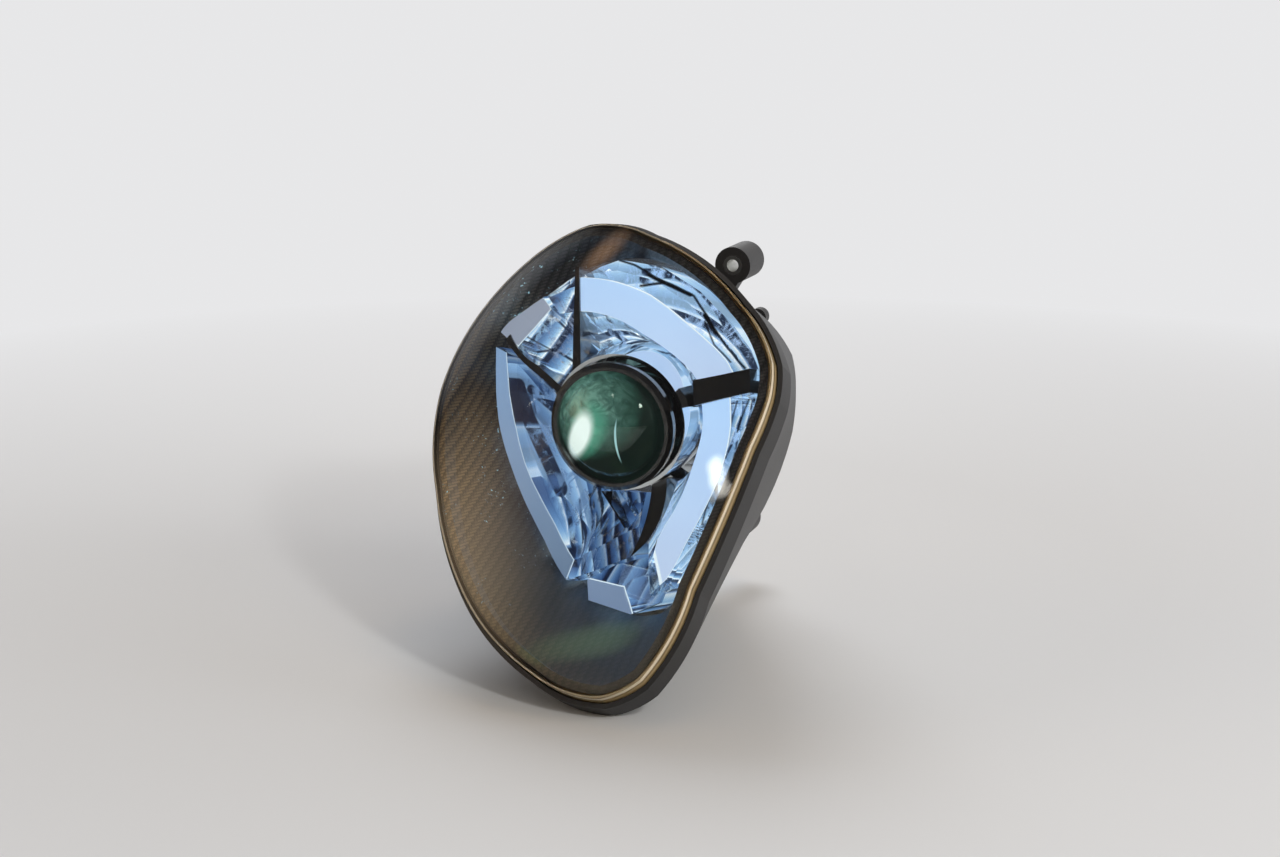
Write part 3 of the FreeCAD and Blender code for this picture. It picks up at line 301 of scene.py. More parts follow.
def dress(material, *names):
    """Gives CAD nodes this material in place of their plain one."""
    for name in names:
        data = nodes[name].data
        data.materials.clear()
        data.materials.append(material)
        print("dressed", name, "with", material.name, "triangles", len(data.polygons))


# %% [markdown]
# ## The studio
# A lamp is all glass and gloss, so the room shows in it. The floor is pale, and so is the
# backdrop. A ray that reaches the camera straight, or through clear glass alone, sees that pale
# colour wherever it goes. A mirrored ray sees it in the half of the room behind the lamp. What
# the cover mirrors towards the camera is the space above and in front of it, so that half is
# kept dim, or its reflection would veil the dark bowl. A ray that has met the bowl and leaves
# through the cover again is no straight view, so its glossy and diffuse bounces are counted.

# %% The backdrop's mask
PALE = (0.80, 0.80, 0.81)
DIM = (0.06, 0.058, 0.060)


def backdrop_shown(tree, behind):
    """1 for a straight view, also through clear glass, and for a mirrored view to the back."""
    path = tree.add("ShaderNodeLightPath")
    camera_ray, glossy, through = [tree.value(path, name) for name in (
        "Is Camera Ray", "Is Glossy Ray", "Is Transmission Ray")]
    bounces = tree.value(path, "Glossy Depth") + tree.value(path, "Diffuse Depth")
    straight = camera_ray.at_least(through * (1.0 - bounces.at_most(1.0)))
    return straight.at_least(glossy * behind)


# %% [markdown]
# ## The floor
# The floor is one sheet at the lamp's lowest point. Near the lamp it is cloth that takes
# shadows; further out it turns into the backdrop, so that no horizon shows.

# %% The floor
FLOOR_HALF = 9.0
FLOOR_FADE = (0.35, 1.25)
FLOOR_BACK = (0.0, 0.6)
FLOOR_COLOUR = (0.70, 0.73, 0.77)

floor_z = cad_box[0].z
mesh = bpy.data.meshes.new("floor")
mesh.from_pydata([(x * FLOOR_HALF, y * FLOOR_HALF, floor_z)
                  for x, y in ((-1, -1), (1, -1), (1, 1), (-1, 1))], [], [(0, 1, 2, 3)])
floor = new_object("floor", mesh)

material, tree = new_material("studio_floor")
place = tree.place()
x = tree.along(place, INBOARD)
y = tree.along(place, BACKWARDS)
far = (x * x + y * y).root().rise(*FLOOR_FADE)
cloth = tree.principled(base_color=FLOOR_COLOUR, roughness=0.7)
backdrop = tree.add("ShaderNodeEmission", inputs={"Color": PALE, "Strength": 1.0}).outputs[0]
tree.surface(tree.blend(far * backdrop_shown(tree, y.rise(*FLOOR_BACK)), cloth, backdrop))
mesh.materials.append(material)
print("floor at", round(floor_z, 4))

# %% [markdown]
# ## The room
# The room is a formula of the direction: pale behind, dim in front, with soft round glows. Lamps
# could stand there instead, but a glow has no edge that the cover would mirror. The first one
# fills the bowl. The others show as warm patches and one small flare in the cover.

# %% The room
BEHIND_WAY = Vector((0.0, 0.92, -0.38))
BEHIND_RISE = (0.10, 0.60)

# The way to each glow's middle, its radius in degrees, its colour, and whether only rays that
# have met a matt surface see it
GLOWS = [
    ((0.80, -0.50, 0.36), 46.0, (2.3, 1.98, 1.58), True),
    ((-0.95, -0.27, 0.16), 34.0, (1.5, 1.10, 0.70), False),
    ((0.15, 0.30, 0.94), 15.0, (3.0, 2.0, 1.1), False),
    ((-0.655, 0.262, 0.710), 5.0, (1.1, 0.66, 0.40), False),
    ((-0.150, -0.590, 0.793), 2.4, (9.0, 8.6, 8.0), False),
    ((-0.130, -0.615, 0.777), 2.6, (10.0, 9.6, 8.8), False),
    ((-0.110, -0.640, 0.760), 2.2, (8.0, 7.6, 6.8), False),
]

world = bpy.data.worlds.new("studio")
bpy.context.scene.world = world
tree = Tree(world)
heading = tree.add("ShaderNodeTexCoord").outputs["Generated"]
behind = tree.along(heading, BEHIND_WAY).rise(*BEHIND_RISE)
room = tree.mix(behind, DIM, PALE)
from_matt = tree.value(tree.add("ShaderNodeLightPath"), "Diffuse Depth").at_most(1.0)
for towards, radius, colour, matt_only in GLOWS:
    near = tree.along(heading, Vector(towards).normalized()).rise(math.cos(math.radians(radius)), 1.0)
    share = near * near
    if matt_only:
        share = share * from_matt
    room = tree.mix(share, room, colour)
seen = tree.mix(backdrop_shown(tree, behind), room, PALE)
background = tree.add("ShaderNodeBackground", inputs={"Color": seen, "Strength": 1.0})
tree.surface(background.outputs[0], "ShaderNodeOutputWorld")
print("glows", len(GLOWS))

# %% [markdown]
# ## The lamps
# Three soft boxes model the shapes: one from the front, one from behind for the rim, and one
# from the inboard side. The front one's square would show in the cover, so it isn't mirrored.

# %% The lamps
MIDDLE = Vector((0.0, -0.16, 0.0))

# Name, place, width and height, watts, colour, and whether glossy surfaces mirror it
SOFT_BOXES = [
    ("key", (1.056, -0.992, 0.864), (0.16, 0.16), 6.0, (1.0, 0.97, 0.92), False),
    ("rim", (-0.5, 0.9, 1.2), (0.8, 0.8), 12.0, WHITE, True),
    ("side", (1.6, 0.1, 0.4), (0.5, 0.9), 5.0, WHITE, True),
]


def soft_box(name, place, size, power, colour, mirrored):
    """A rectangular lamp that faces the middle of the lamp that is shown."""
    data = bpy.data.lights.new(name, "AREA")
    data.shape = "RECTANGLE"
    data.size, data.size_y = size
    data.energy = power
    data.color = colour
    lamp = new_object(name, data)
    lamp.location = place
    lamp.rotation_euler = aimed(MIDDLE - Vector(place))
    lamp.visible_glossy = mirrored
    print("lamp", name, "watts", power)


for row in SOFT_BOXES:
    soft_box(*row)
bpy.context.scene.view_settings.view_transform = "Standard"

# %% [markdown]
# ## The cover's shape
# Such a cover is one injection-moulded sheet of hard-coated polycarbonate, bent like a barrel,
# with a leg all round that sits in the housing's channel. Its finish changes with the depth
# below the sheet's outer face, so that depth is worked out from the barrel's two radii.

# %% The cover's shape
COVER_YAW = math.radians(12.0)
COVER_RAKE = math.radians(35.0)
COVER_CENTRE = Vector((AXIS_X, -0.252, AXIS_Z))
COVER_PLAN_RADIUS = 0.360
COVER_SIDE_RADIUS = 0.560
COVER_THICKNESS = 0.0035

COVER_W = direction(-COVER_YAW, COVER_RAKE)
COVER_V = (UP - COVER_W * COVER_W.z).normalized()
COVER_U = COVER_V.cross(COVER_W)


def below_cover(tree, place):
    """Depth under the outer face: S - sqrt((sqrt(u u + (w + P)^2) - (P - S))^2 + v v)."""
    u, v, w = [tree.along(place, axis, COVER_CENTRE) for axis in (COVER_U, COVER_V, COVER_W)]
    reach = w + COVER_PLAN_RADIUS
    arm = (u * u + reach * reach).root() - (COVER_PLAN_RADIUS - COVER_SIDE_RADIUS)
    return COVER_SIDE_RADIUS - (arm * arm + v * v).root()


print("cover faces", [round(c, 3) for c in COVER_W])

# %% [markdown]
# ## The cover's finish
# The sheet is plain clear glass with a real thickness, so it refracts and mirrors by itself.
# The leg below it gets a coat whose colour is painted light: gold as a painted highlight on the inboard
# side, and near black as painted shade elsewhere. The ground edge is the top of the side wall, a thin pale
# line all round, whose pale colour is a painted edge highlight. A line painted where one camera sees the
# outline would slide when the lamp turns.

# %% The cover's finish
# Painted shade outboard and painted highlight inboard on the cover's leg
LEG_SHADE_BLACK = (0.030, 0.022, 0.014)
LEG_GOLD_HIGHLIGHT = ((0.46, 0.33, 0.16), (0.82, 0.64, 0.36))
LEG_HIGHLIGHT_RISE = (-0.06, 0.04)
# Painted edge highlight on the ground edge, pale and warm
PALE_EDGE_HIGHLIGHT = ((0.62, 0.54, 0.40), (0.86, 0.78, 0.62))
GROUND_EDGE = 0.0028
LEG_START = COVER_THICKNESS + 0.0003
STREAK_SCALE = 35.0
WALL_FACING = 0.45
WALL_SOFT = 0.1
MASK_SOFT = 0.0002

material, tree = new_material("cover_polycarbonate")
place = tree.place()
depth = below_cover(tree, place)
streaks = tree.noise(place, STREAK_SCALE)
inboard = tree.along(place, INBOARD, AXIS_POINT).rise(*LEG_HIGHLIGHT_RISE)
# Painted light on the leg: a gold highlight inboard, near black shade outboard
leg_light_colour = tree.mix(inboard, LEG_SHADE_BLACK, tree.mix(streaks, *LEG_GOLD_HIGHLIGHT))
clear = tree.principled(base_color=(0.97, 0.985, 0.98), roughness=0.0, ior=1.5,
                        transmission_weight=1.0)
leg_coat = tree.principled(base_color=leg_light_colour, roughness=0.28, metallic=0.4, coat_weight=0.6)
# The ground edge's pale colour is a painted edge highlight
ground_highlight = tree.principled(base_color=tree.mix(streaks, *PALE_EDGE_HIGHLIGHT), roughness=0.30)
on_wall = 1.0 - tree.facing(COVER_W).above(WALL_FACING, WALL_SOFT)
sheet = tree.blend(on_wall * (1.0 - depth.above(GROUND_EDGE, MASK_SOFT)), clear, ground_highlight)
tree.surface(tree.blend(depth.above(LEG_START, MASK_SOFT), sheet, leg_coat))
dress(material, "cover_lens")

# %% [markdown]
# ## The crystals' plane
# The frosted faces of all five crystals lie on one raked plane. Two directions on it and the
# depth behind it place the crystals' light, and the warm and dusty parts of the bowl.

# %% The crystals' plane
CRYSTAL_TILT = math.radians(13.5)
CRYSTAL_PLANE = Vector((AXIS_X, -0.163, AXIS_Z))
PLANE_N = direction(0.0, CRYSTAL_TILT)
PLANE_A = INBOARD
PLANE_B = PLANE_N.cross(PLANE_A)


def plane_coordinates(tree, place):
    """Inboard, up and behind, on the raked plane of the crystals' frosted faces."""
    return [tree.along(place, axis, CRYSTAL_PLANE) for axis in (PLANE_A, PLANE_B, -PLANE_N)]


def spot(a, b, centre, reach):
    """1 at the centre, falling to 0 at the ellipse whose half axes are the reach."""
    x = (a - centre[0]) / reach[0]
    y = (b - centre[1]) / reach[1]
    return (1.0 - (x * x + y * y)).at_least(0.0)


print("crystals face", [round(c, 3) for c in PLANE_N])

# %% [markdown]
# ## The carbon's weave
# The bowl is a moulding of carbon-fibre twill under clear lacquer. Each tow passes over two
# and under two, one step further along in each row, so the crossings line up in diagonal ribs.
# An image of cloth would slide on the curved wall; here the weave is computed. The wall is
# first laid flat on one plane, square to the way the cloth was draped, then the two thread
# directions are counted off, and a tow lies on top where the sum of its counts, modulo four, is
# under two. That makes ribs at 45 degrees to the threads, so the threads are turned until the
# ribs lean inboard as they rise.

# %% The carbon's weave
TOW = 0.00184
TOW_WANDER = 0.004
WANDER_SCALE = 7.0
TWILL_REPEAT = 4.0
TOW_HEIGHT = 0.0002
THREAD_TURN = math.radians(65.0 - 135.0)
DRAPE_N = direction(math.radians(18.0), math.radians(13.0))
DRAPE_A = UP.cross(DRAPE_N).normalized() * -1.0
DRAPE_B = DRAPE_N.cross(DRAPE_A)


def weave(tree, place):
    """Which tow lies on top, 0 or 1, and how high it bulges there, from 0 to 1."""
    wander = (tree.noise(place, WANDER_SCALE, 1.0) - 0.5) * TOW_WANDER
    p = tree.along(place, DRAPE_A) + wander
    q = tree.along(place, DRAPE_B) - wander
    cosine, sine = math.cos(THREAD_TURN), math.sin(THREAD_TURN)
    warp = (p * cosine + q * sine) / TOW
    weft = (q * cosine - p * sine) / TOW
    top = ((warp.whole() + weft.whole()) / TWILL_REPEAT).fraction().above(0.5, 0.01)
    hill_warp, hill_weft = [(thread.fraction() * math.pi).sine() for thread in (warp, weft)]
    return top, hill_warp * (1.0 - top) + hill_weft * top


print("tow", TOW, "turned", round(math.degrees(THREAD_TURN), 1))

# %% [markdown]
# ## The bowl's finish
# Painted warm light lies on the outboard wall near the rim, with specks of dust painted as glowing cyan
# glints; the low wall is paler and flatter towards the bottom; and a painted glow of the lens's green lies
# below the crystals. The tows' own colours carry a painted warm sheen. All of these are masks on the
# crystals' plane, mixed into the weave's colours and its emission.

# %% The bowl's finish
# Each tow's dark colour and its painted warm sheen; the warp is lighter than the weft as painted sheen
# along its fibres
WARP_COLOURS_AND_SHEEN = ((0.092, 0.086, 0.084), (0.90, 0.58, 0.25))
WEFT_COLOURS_AND_SHEEN = ((0.040, 0.036, 0.034), (0.340, 0.215, 0.090))
# Painted shade where each tow dips under the next
CREVICE_SHADE = (0.35, 0.35, 0.35)
# Where the painted warm light lies: outboard, low, and near the rim
WARM_LIGHT_OUTBOARD = (0.04, -0.08)
WARM_LIGHT_BELOW = (0.09, -0.05)
WARM_LIGHT_DEPTH = (0.065, 0.005)
LIGHT_PATCH_SCALE = 9.0
LIGHT_PATCH_CHANGE = 0.9
LIGHT_PATCH_BASE = 0.35
# Paler and flatter in contrast towards the bottom of the bowl
LOW_WALL_PALE = (0.30, 0.27, 0.22)
LOW_WALL_RISE = (-0.04, -0.11)
LOW_WALL_SHARE = 0.5
# Specks of dust painted as cyan glints: a pale cyan colour and a cyan glow
DUST_GLINT_COLOUR = (0.55, 0.80, 0.85)
DUST_GLINT_GLOW = (0.35, 0.60, 0.70)
DUST_GLINT_SHARE = 0.7
DUST_GLINT_OUTBOARD = (-0.03, -0.08)
SPECK_SCALE = 330.0
SPECK_EDGE = 0.690
DRIFT_PATCHES = 30.0
DRIFT_EDGE = 0.52
# Painted glow of the lens's green light on the bowl below the crystals
GREEN_PLACE = (0.002, -0.146)
GREEN_REACH = (0.024, 0.011)
GREEN_GLOW = (0.030, 0.055, 0.022)


def dust_and_glints(tree, place, a):
    """1 at fine specks of dust painted as glowing glints, in drifts on the outboard side."""
    speck = tree.noise(place, SPECK_SCALE, 2.0, 0.7).above(SPECK_EDGE, 0.01)
    drift = tree.noise(place, DRIFT_PATCHES, 1.0).above(DRIFT_EDGE, 0.1)
    return speck * (a.rise(*DUST_GLINT_OUTBOARD) * drift)


def carbon(name):
    material, tree = new_material(name)
    place = tree.place()
    a, b, _ = plane_coordinates(tree, place)
    top, height = weave(tree, place)
    near_rim = below_cover(tree, place).rise(*WARM_LIGHT_DEPTH)
    # Painted warm light on the outboard wall near the rim, in patches
    light_patch = tree.noise(place, LIGHT_PATCH_SCALE) * LIGHT_PATCH_CHANGE + LIGHT_PATCH_BASE
    warm_light = a.rise(*WARM_LIGHT_OUTBOARD) * b.rise(*WARM_LIGHT_BELOW) * near_rim * light_patch
    # Each tow runs from its dark colour to its painted warm sheen where the painted warm light lies
    colour = tree.mix(top, tree.mix(warm_light, *WARP_COLOURS_AND_SHEEN), tree.mix(warm_light, *WEFT_COLOURS_AND_SHEEN))
    # Painted shade: each tow darkens towards its edges, where it dips under the next
    colour = tree.tinted(colour, tree.mix(height, CREVICE_SHADE, WHITE))
    # Paler and flatter towards the bottom
    colour = tree.mix(b.rise(*LOW_WALL_RISE) * LOW_WALL_SHARE, colour, LOW_WALL_PALE)
    # Specks of dust painted as glints, glowing cyan in the emission
    specks = dust_and_glints(tree, place, a)
    colour = tree.mix(specks, colour, DUST_GLINT_COLOUR)
    # Painted green glow of the lens, in the emission
    glow = tree.mix(spot(a, b, GREEN_PLACE, GREEN_REACH), BLACK, GREEN_GLOW)
    glow = tree.mix(specks * DUST_GLINT_SHARE, glow, DUST_GLINT_GLOW)
    tree.surface(tree.principled(base_color=colour, roughness=0.5, coat_weight=0.22, coat_roughness=0.28,
                                 specular_ior_level=0.25, emission_color=glow, emission_strength=1.0,
                                 normal=tree.bump(height, TOW_HEIGHT, 0.6)))
    return material


dress(carbon("carbon_twill"), "bezel_bowl")

# %% [markdown]
# ## The cut crystals
# Each crystal is a block of optical acrylic, fed with light from behind. Its front band is sand-blasted and
# glows evenly; every other face is polished, so what is seen there is the block's own back, bent by the
# facets. So the finish is split by depth: frosted at the front plane, a bright line at its edge, partly the
# lamp's light where the edge is broken and partly a painted edge highlight, clear glass between, and at the
# back and on the straight side walls the lit mirror. The mirror's light lies in folds, each rising from
# navy to a white crest. They run in rings about a far centre, so in nearly straight lines, and step where
# two cut facets meet. The glass then bends and doubles them by itself.

# %% How each crystal is lit
FROST_BLUE = (0.54, 0.82, 1.20)
FROST_PALE = (0.60, 0.73, 0.96)

# In millimetres on the crystals' plane (inboard, up): the centre of the folds, the pitch from fold to fold
# and where they are darkest; the grooves cut in the front and the painted dark reflections drawn as dark
# lines on the back, each with its half width and corners. Without a unit: by how many pitches the folds
# waver, the colour that dims them, and the frosted band's colours at its lower and its upper end
MM = 0.001
LIGHT = {
    "crystal_upper_left": dict(
        centre=(-231, 145), pitch=18, waver=3.6, dark=(-20, 60), dimmed=(0.90, 0.93, 0.96),
        frost=((0.30, 0.36, 0.47), (0.33, 0.37, 0.47)),
        grooves=[(0.4, [(-94, 48), (-78, 49), (-62, 41)])],
        lines=[(0.9, [(-90, 41), (-70, 44), (-52, 34)]),
               (0.8, [(-71, 66), (-58, 55), (-50, 74)])]),
    "crystal_upper_right": dict(
        centre=(4, -6), pitch=21, waver=3.2, dark=(60, 10), dimmed=WHITE,
        frost=(FROST_PALE, FROST_BLUE),
        grooves=[(0.7, [(-19, 104), (-7, 101), (8, 94), (22, 89), (36, 83), (47, 71), (56, 60), (64, 50),
                       (76, 38)]),
                 (1.2, [(4, 95), (20, 89), (34, 83.5)]),
                 (0.9, [(1, 87), (16, 90.5)]),
                 (1.2, [(46, 71), (55, 60)]),
                 (0.5, [(47, 67), (55, 52), (67, 41)])],
        lines=[(2.4, [(-23, 106), (-12, 102), (1, 95), (15, 90), (29, 84), (41, 72), (50, 60), (58, 50),
                     (70, 38)]),
               (3, [(-6, 89), (10, 91)]),
               (1.2, [(44, 66), (52, 52), (64, 42)]),
               (2.4, [(-29, 66), (-16, 55), (2, 55)]),
               (2, [(-9, 48), (6, 45), (20, 38), (26, 30)])]),
    "crystal_lower_right": dict(
        centre=(-94, 60), pitch=8.5, waver=2.0, dark=(50, -20), dimmed=WHITE,
        frost=(FROST_PALE, FROST_BLUE),
        grooves=[(0.4, [(73.5, 16), (67.5, -19), (56, -66)]),
                 (0.4, [(80, 18), (75, -4)])],
        lines=[(0.6, [(68.5, 20), (60.5, -22), (48, -52)]),
               (0.6, [(74.5, 20), (69, -4)]),
               (2.2, [(23, 5), (31, -6), (38, 6)]),
               (1.5, [(27, -20), (39, -7)]),
               (1.4, [(49, -70), (39, -88)])]),
    "crystal_left": dict(
        centre=(-191, -128), pitch=11.5, waver=2.0, dark=(-66, 0), dimmed=(0.66, 0.72, 0.80),
        frost=((0.115, 0.180, 0.285), (0.23, 0.40, 0.66)),
        grooves=[],
        lines=[(5.6, [(-98, 14), (-89, -8), (-73, -35), (-60, -56)]),
               (3.2, [(-88, 13), (-74, 4), (-60, -4)]),
               (0.9, [(-44, -62), (-39, -91)]),
               (0.9, [(-37, -58), (-30, -88)]),
               (1, [(-30, -54), (-20, -85)])]),
    "crystal_bottom": dict(
        centre=(150, -180), pitch=10, waver=3.2, dark=(30, -120), dimmed=(0.90, 0.94, 0.97),
        frost=((0.17, 0.25, 0.40), (0.20, 0.30, 0.48)),
        grooves=[],
        lines=[]),
}


def metres(lengths):
    return [length * MM for length in lengths]


print("lit crystals", len(LIGHT))

# %% [markdown]
# ## Lines on the glass
# A dark line is a run of straight parts between corners. A point is on it where the least distance to its
# parts is under half its width. The same formula draws the painted dark reflections on a crystal's back,
# which the glass bends, and the grooves in its front.

# %% Lines on the glass
LINE_SOFT = 0.0010


def near_line(a, b, corners, half):
    """1 within half of a bent line: the least distance to its straight parts; both in mm."""
    nearest = None
    corners = [metres(corner) for corner in corners]
    for (x, y), (x_next, y_next) in zip(corners, corners[1:]):
        run, climb = x_next - x, y_next - y
        share = ((a - x) * run + (b - y) * climb).math("DIVIDE", run * run + climb * climb, clamp=True)
        off_x = a - x - share * run
        off_y = b - y - share * climb
        away = off_x * off_x + off_y * off_y
        nearest = nearest.at_most(away) if nearest else away
    return 1.0 - nearest.root().above(half * MM, LINE_SOFT)


# %% [markdown]
# ## The folds of light
# The rings are counted off, and the fraction of each count is read off a ramp of colours. Cells
# of a Voronoi pattern stand for the cut facets: each shifts the count by a step of its own, and
# some are plain bright or dark. The real folds are images of combs of light, and to trace those
# would need their shape, which the photograph hides.

# %% The folds of light
FOLD = [(0.0, (0.006, 0.011, 0.028)), (0.24, (0.010, 0.020, 0.055)), (0.28, (0.070, 0.14, 0.30)),
        (0.46, (0.15, 0.30, 0.54)), (0.66, (0.32, 0.56, 0.85)), (0.80, (0.62, 0.86, 1.02)),
        (0.91, (1.25, 1.25, 1.2)), (0.94, (0.32, 0.52, 0.76)), (1.0, (0.03, 0.06, 0.15))]
NAVY = (0.006, 0.012, 0.034)
DRIFT_SCALE = 0.30
LINE_DRIFT = 0.006
FACET_SCALE = 0.26
FACET_STRETCH = 0.105
FACET_STEP = 1.2
BRIGHT_FACET = (0.44, 0.68, 0.95)
BRIGHT_CELLS = (0.76, 0.80)
BRIGHT_SHARE = 0.6
DARK_FACET = (0.30, 0.36, 0.46)
DARK_CELLS = (0.29, 0.23)
GLOOM = (0.34, 0.42, 0.52)
GLOOM_REACH = (0.042, 0.042)
GLOOM_MOST = 0.8


def fold_light(tree, a, b, light):
    """Rings about the centre, counted in pitches, each count's fraction read off the ramp."""
    centre, pitch = metres(light["centre"]), light["pitch"] * MM
    x = a - centre[0]
    y = b - centre[1]
    rings = (x * x + y * y).root() / pitch
    round_it = y.math("ARCTAN2", x) * (math.hypot(*centre) / pitch * FACET_STRETCH)
    where = tree.vector(rings, round_it)
    drift = tree.noise(where, DRIFT_SCALE, distortion=0.5)
    cells = tree.add("ShaderNodeTexVoronoi", dict(voronoi_dimensions="2D"),
                     {"Vector": where, "Scale": FACET_SCALE})
    parts = tree.add("ShaderNodeSeparateColor", inputs={0: cells.outputs["Color"]})
    step, shade = tree.value(parts, 0), tree.value(parts, 1)
    folds = tree.ramp((rings + drift * light["waver"] + step * FACET_STEP).fraction(), FOLD)
    folds = tree.mix(shade.rise(*BRIGHT_CELLS) * BRIGHT_SHARE, folds, BRIGHT_FACET)
    folds = tree.tinted(folds, DARK_FACET, shade.rise(*DARK_CELLS))
    gloom = spot(a, b, metres(light["dark"]), GLOOM_REACH).at_most(GLOOM_MOST)
    folds = tree.tinted(folds, GLOOM, gloom)
    swing = (drift - 0.5) * LINE_DRIFT
    # Painted dark reflections: dark lines drawn into the lit back, which the glass bends
    for half, corners in light["lines"]:
        folds = tree.mix(near_line(a + swing, b - swing, corners, half), folds, NAVY)
    return tree.tinted(folds, light["dimmed"])


# %% [markdown]
# ## The crystals' finish
# The frosted band, the clear glass with its grooves and the lit back meet in one block. Masks of
# depth and of the way a face turns tell them apart, so no face has to be picked by hand.

# %% The crystals' finish
CRYSTAL_DEPTH = 0.036
FROST_DEPTH = 0.0004
EDGE_HIGHLIGHT_WIDTH = 0.0003
BACK_SKIN = 0.0004
DEPTH_SOFT = 0.0001
WALL_DEPTH = 0.0130
BLOCK_FACING = 0.10
# Colour of the bright line at the frost's edge: the lamp's light, partly a painted edge highlight
FROST_EDGE_HIGHLIGHT = (0.80, 0.93, 1.0)
GROOVE_REACH = 0.016
GROOVE_SOFT = 0.002
GROOVE_WAVER = 0.0012
GROOVE_BENDS = 45.0
FROST_CLOUDS = 30.0
FROST_THIN = (0.90, 0.90, 0.92)


def frosted(tree, place, name, light):
    """The sand-blasted band: an even glow, from its lower end's colour to its upper end's."""
    bottom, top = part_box(name)
    height = tree.along(place, UP).rise(bottom.z, top.z)
    cloud = tree.mix(tree.noise(place, FROST_CLOUDS, 3.0), FROST_THIN, WHITE)
    glow = tree.tinted(tree.mix(height, *light["frost"]), cloud)
    return tree.principled(base_color=(0.22, 0.26, 0.33), roughness=0.5, emission_color=glow,
                           emission_strength=0.9)


def grooved_glass(tree, place, a, b, depth, light):
    """Clear glass, with dark grooves that reach a little way in from the front."""
    glass = tree.principled(base_color=(0.92, 0.97, 1.0), roughness=0.0, ior=1.49,
                            transmission_weight=1.0)
    groove = tree.principled(base_color=NAVY, roughness=0.12, specular_ior_level=0.6)
    waver = (tree.noise(place, GROOVE_BENDS, 1.0) - 0.5) * GROOVE_WAVER
    shallow = 1.0 - depth.above(GROOVE_REACH, GROOVE_SOFT)
    for half, corners in light["grooves"]:
        glass = tree.blend(near_line(a + waver, b + waver, corners, half) * shallow, glass, groove)
    return glass


def crystal_material(name, light):
    """Frost, a bright edge line that is partly a painted highlight, clear glass and the lit back, told
    apart by depth.
    """
    material, tree = new_material(name + "_glass")
    place = tree.place()
    a, b, depth = plane_coordinates(tree, place)
    # The frost's bright edge line, partly a painted edge highlight
    edge_highlight_colour = tuple(np.multiply(FROST_EDGE_HIGHLIGHT, light["dimmed"]))
    frost_edge_highlight = tree.principled(base_color=(0.3, 0.3, 0.3), roughness=0.2, emission_color=edge_highlight_colour,
                               emission_strength=1.0)
    back = tree.principled(base_color=(0.02, 0.03, 0.05), roughness=0.3,
                           emission_color=fold_light(tree, a, b, light), emission_strength=1.0)
    front = tree.blend(depth.above(FROST_DEPTH, DEPTH_SOFT), frosted(tree, place, name, light), frost_edge_highlight)
    shader = tree.blend(depth.above(FROST_DEPTH + EDGE_HIGHLIGHT_WIDTH, DEPTH_SOFT), front,
                        grooved_glass(tree, place, a, b, depth, light))
    on_wall = depth.above(WALL_DEPTH, MASK_SOFT) * (1.0 - tree.facing(PLANE_N).above(BLOCK_FACING, 0.02))
    mirrored = depth.above(CRYSTAL_DEPTH - BACK_SKIN, DEPTH_SOFT).at_least(on_wall)
    tree.surface(tree.blend(mirrored, shader, back))
    return material


for name, light in LIGHT.items():
    dress(crystal_material(name, light), name)

# %% [markdown]
# ## Surfaces from formulas
# A new piece starts as a grid of points that numpy works out from two parameters, so its whole
# shape is one formula. Each row of a grid closes on itself. Copies, such as pins, are several
# grids in one mesh.

# %% Meshes
MERGE_DISTANCE = 0.000001


def close_up(mesh):
    """Merges points that coincide, drops what collapsed, and turns the faces outwards."""
    shape = bmesh.new()
    shape.from_mesh(mesh)
    bmesh.ops.remove_doubles(shape, verts=shape.verts, dist=MERGE_DISTANCE)
    bmesh.ops.dissolve_degenerate(shape, edges=shape.edges, dist=MERGE_DISTANCE)
    bmesh.ops.recalc_face_normals(shape, faces=shape.faces)
    shape.to_mesh(mesh)
    shape.free()


def new_piece(name, points, faces, material, body, closed=True, smooth=True):
    """A piece at the origin on its body."""
    mesh = bpy.data.meshes.new(name)
    mesh.from_pydata(points, [], faces)
    if closed:
        close_up(mesh)
    if smooth:
        mesh.shade_smooth()
    mesh.materials.append(material)
    piece = new_object(name, mesh)
    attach(piece, body)
    print("piece", name, "points", len(mesh.vertices), "faces", len(mesh.polygons))
    return piece


# %% Grids
def grid_piece(name, grids, material, body, closed=True):
    """One mesh from arrays of rows by columns by 3, whose last column joins the first."""
    points = []
    faces = []
    for grid in grids:
        rows, columns = grid.shape[:2]
        column = np.arange(columns)
        start = len(points) + columns * np.arange(rows - 1)[:, None]
        here = start + column
        beside = start + (column + 1) % columns
        faces += np.stack([here, beside, beside + columns, here + columns], axis=-1).reshape(-1, 4).tolist()
        points += grid.reshape(-1, 3).tolist()
    new_piece(name, points, faces, material, body, closed)


def turned_grid(profile, centre, base, steps, swell=0.0):
    """Turned surface: (x + (r + swell) cos t, base + h, z + (r + swell) sin t) for rows (r, h)."""
    turn = np.linspace(0, math.tau, steps, endpoint=False)
    radius, height = np.array(profile, dtype=float).T
    reach = radius[:, None] + swell
    return np.stack([centre[0] + reach * np.cos(turn),
                     np.outer(base + height, np.ones(steps)),
                     centre[1] + reach * np.sin(turn)], axis=-1)


def turned_set(name, profile, centres, base, steps, material, body):
    """The same profile turned about an axis at each centre, as one mesh."""
    grids = [turned_grid(profile, centre, base, steps) for centre in centres]
    grid_piece(name, grids, material, body)


# %% [markdown]
# ## The bead round the cover
# The cover's edge is ground and catches the light as one thin pale line. A shader can't find an outline, so
# that highlight is painted on a piece of its own: a bead, inlaid in the sheet along its rim, pale outboard
# and gold inboard. The rim is read off the imported cover as the points of its outer face that are also on
# the side wall, put in order by their direction from the middle. The bead is a small circle carried along
# them.

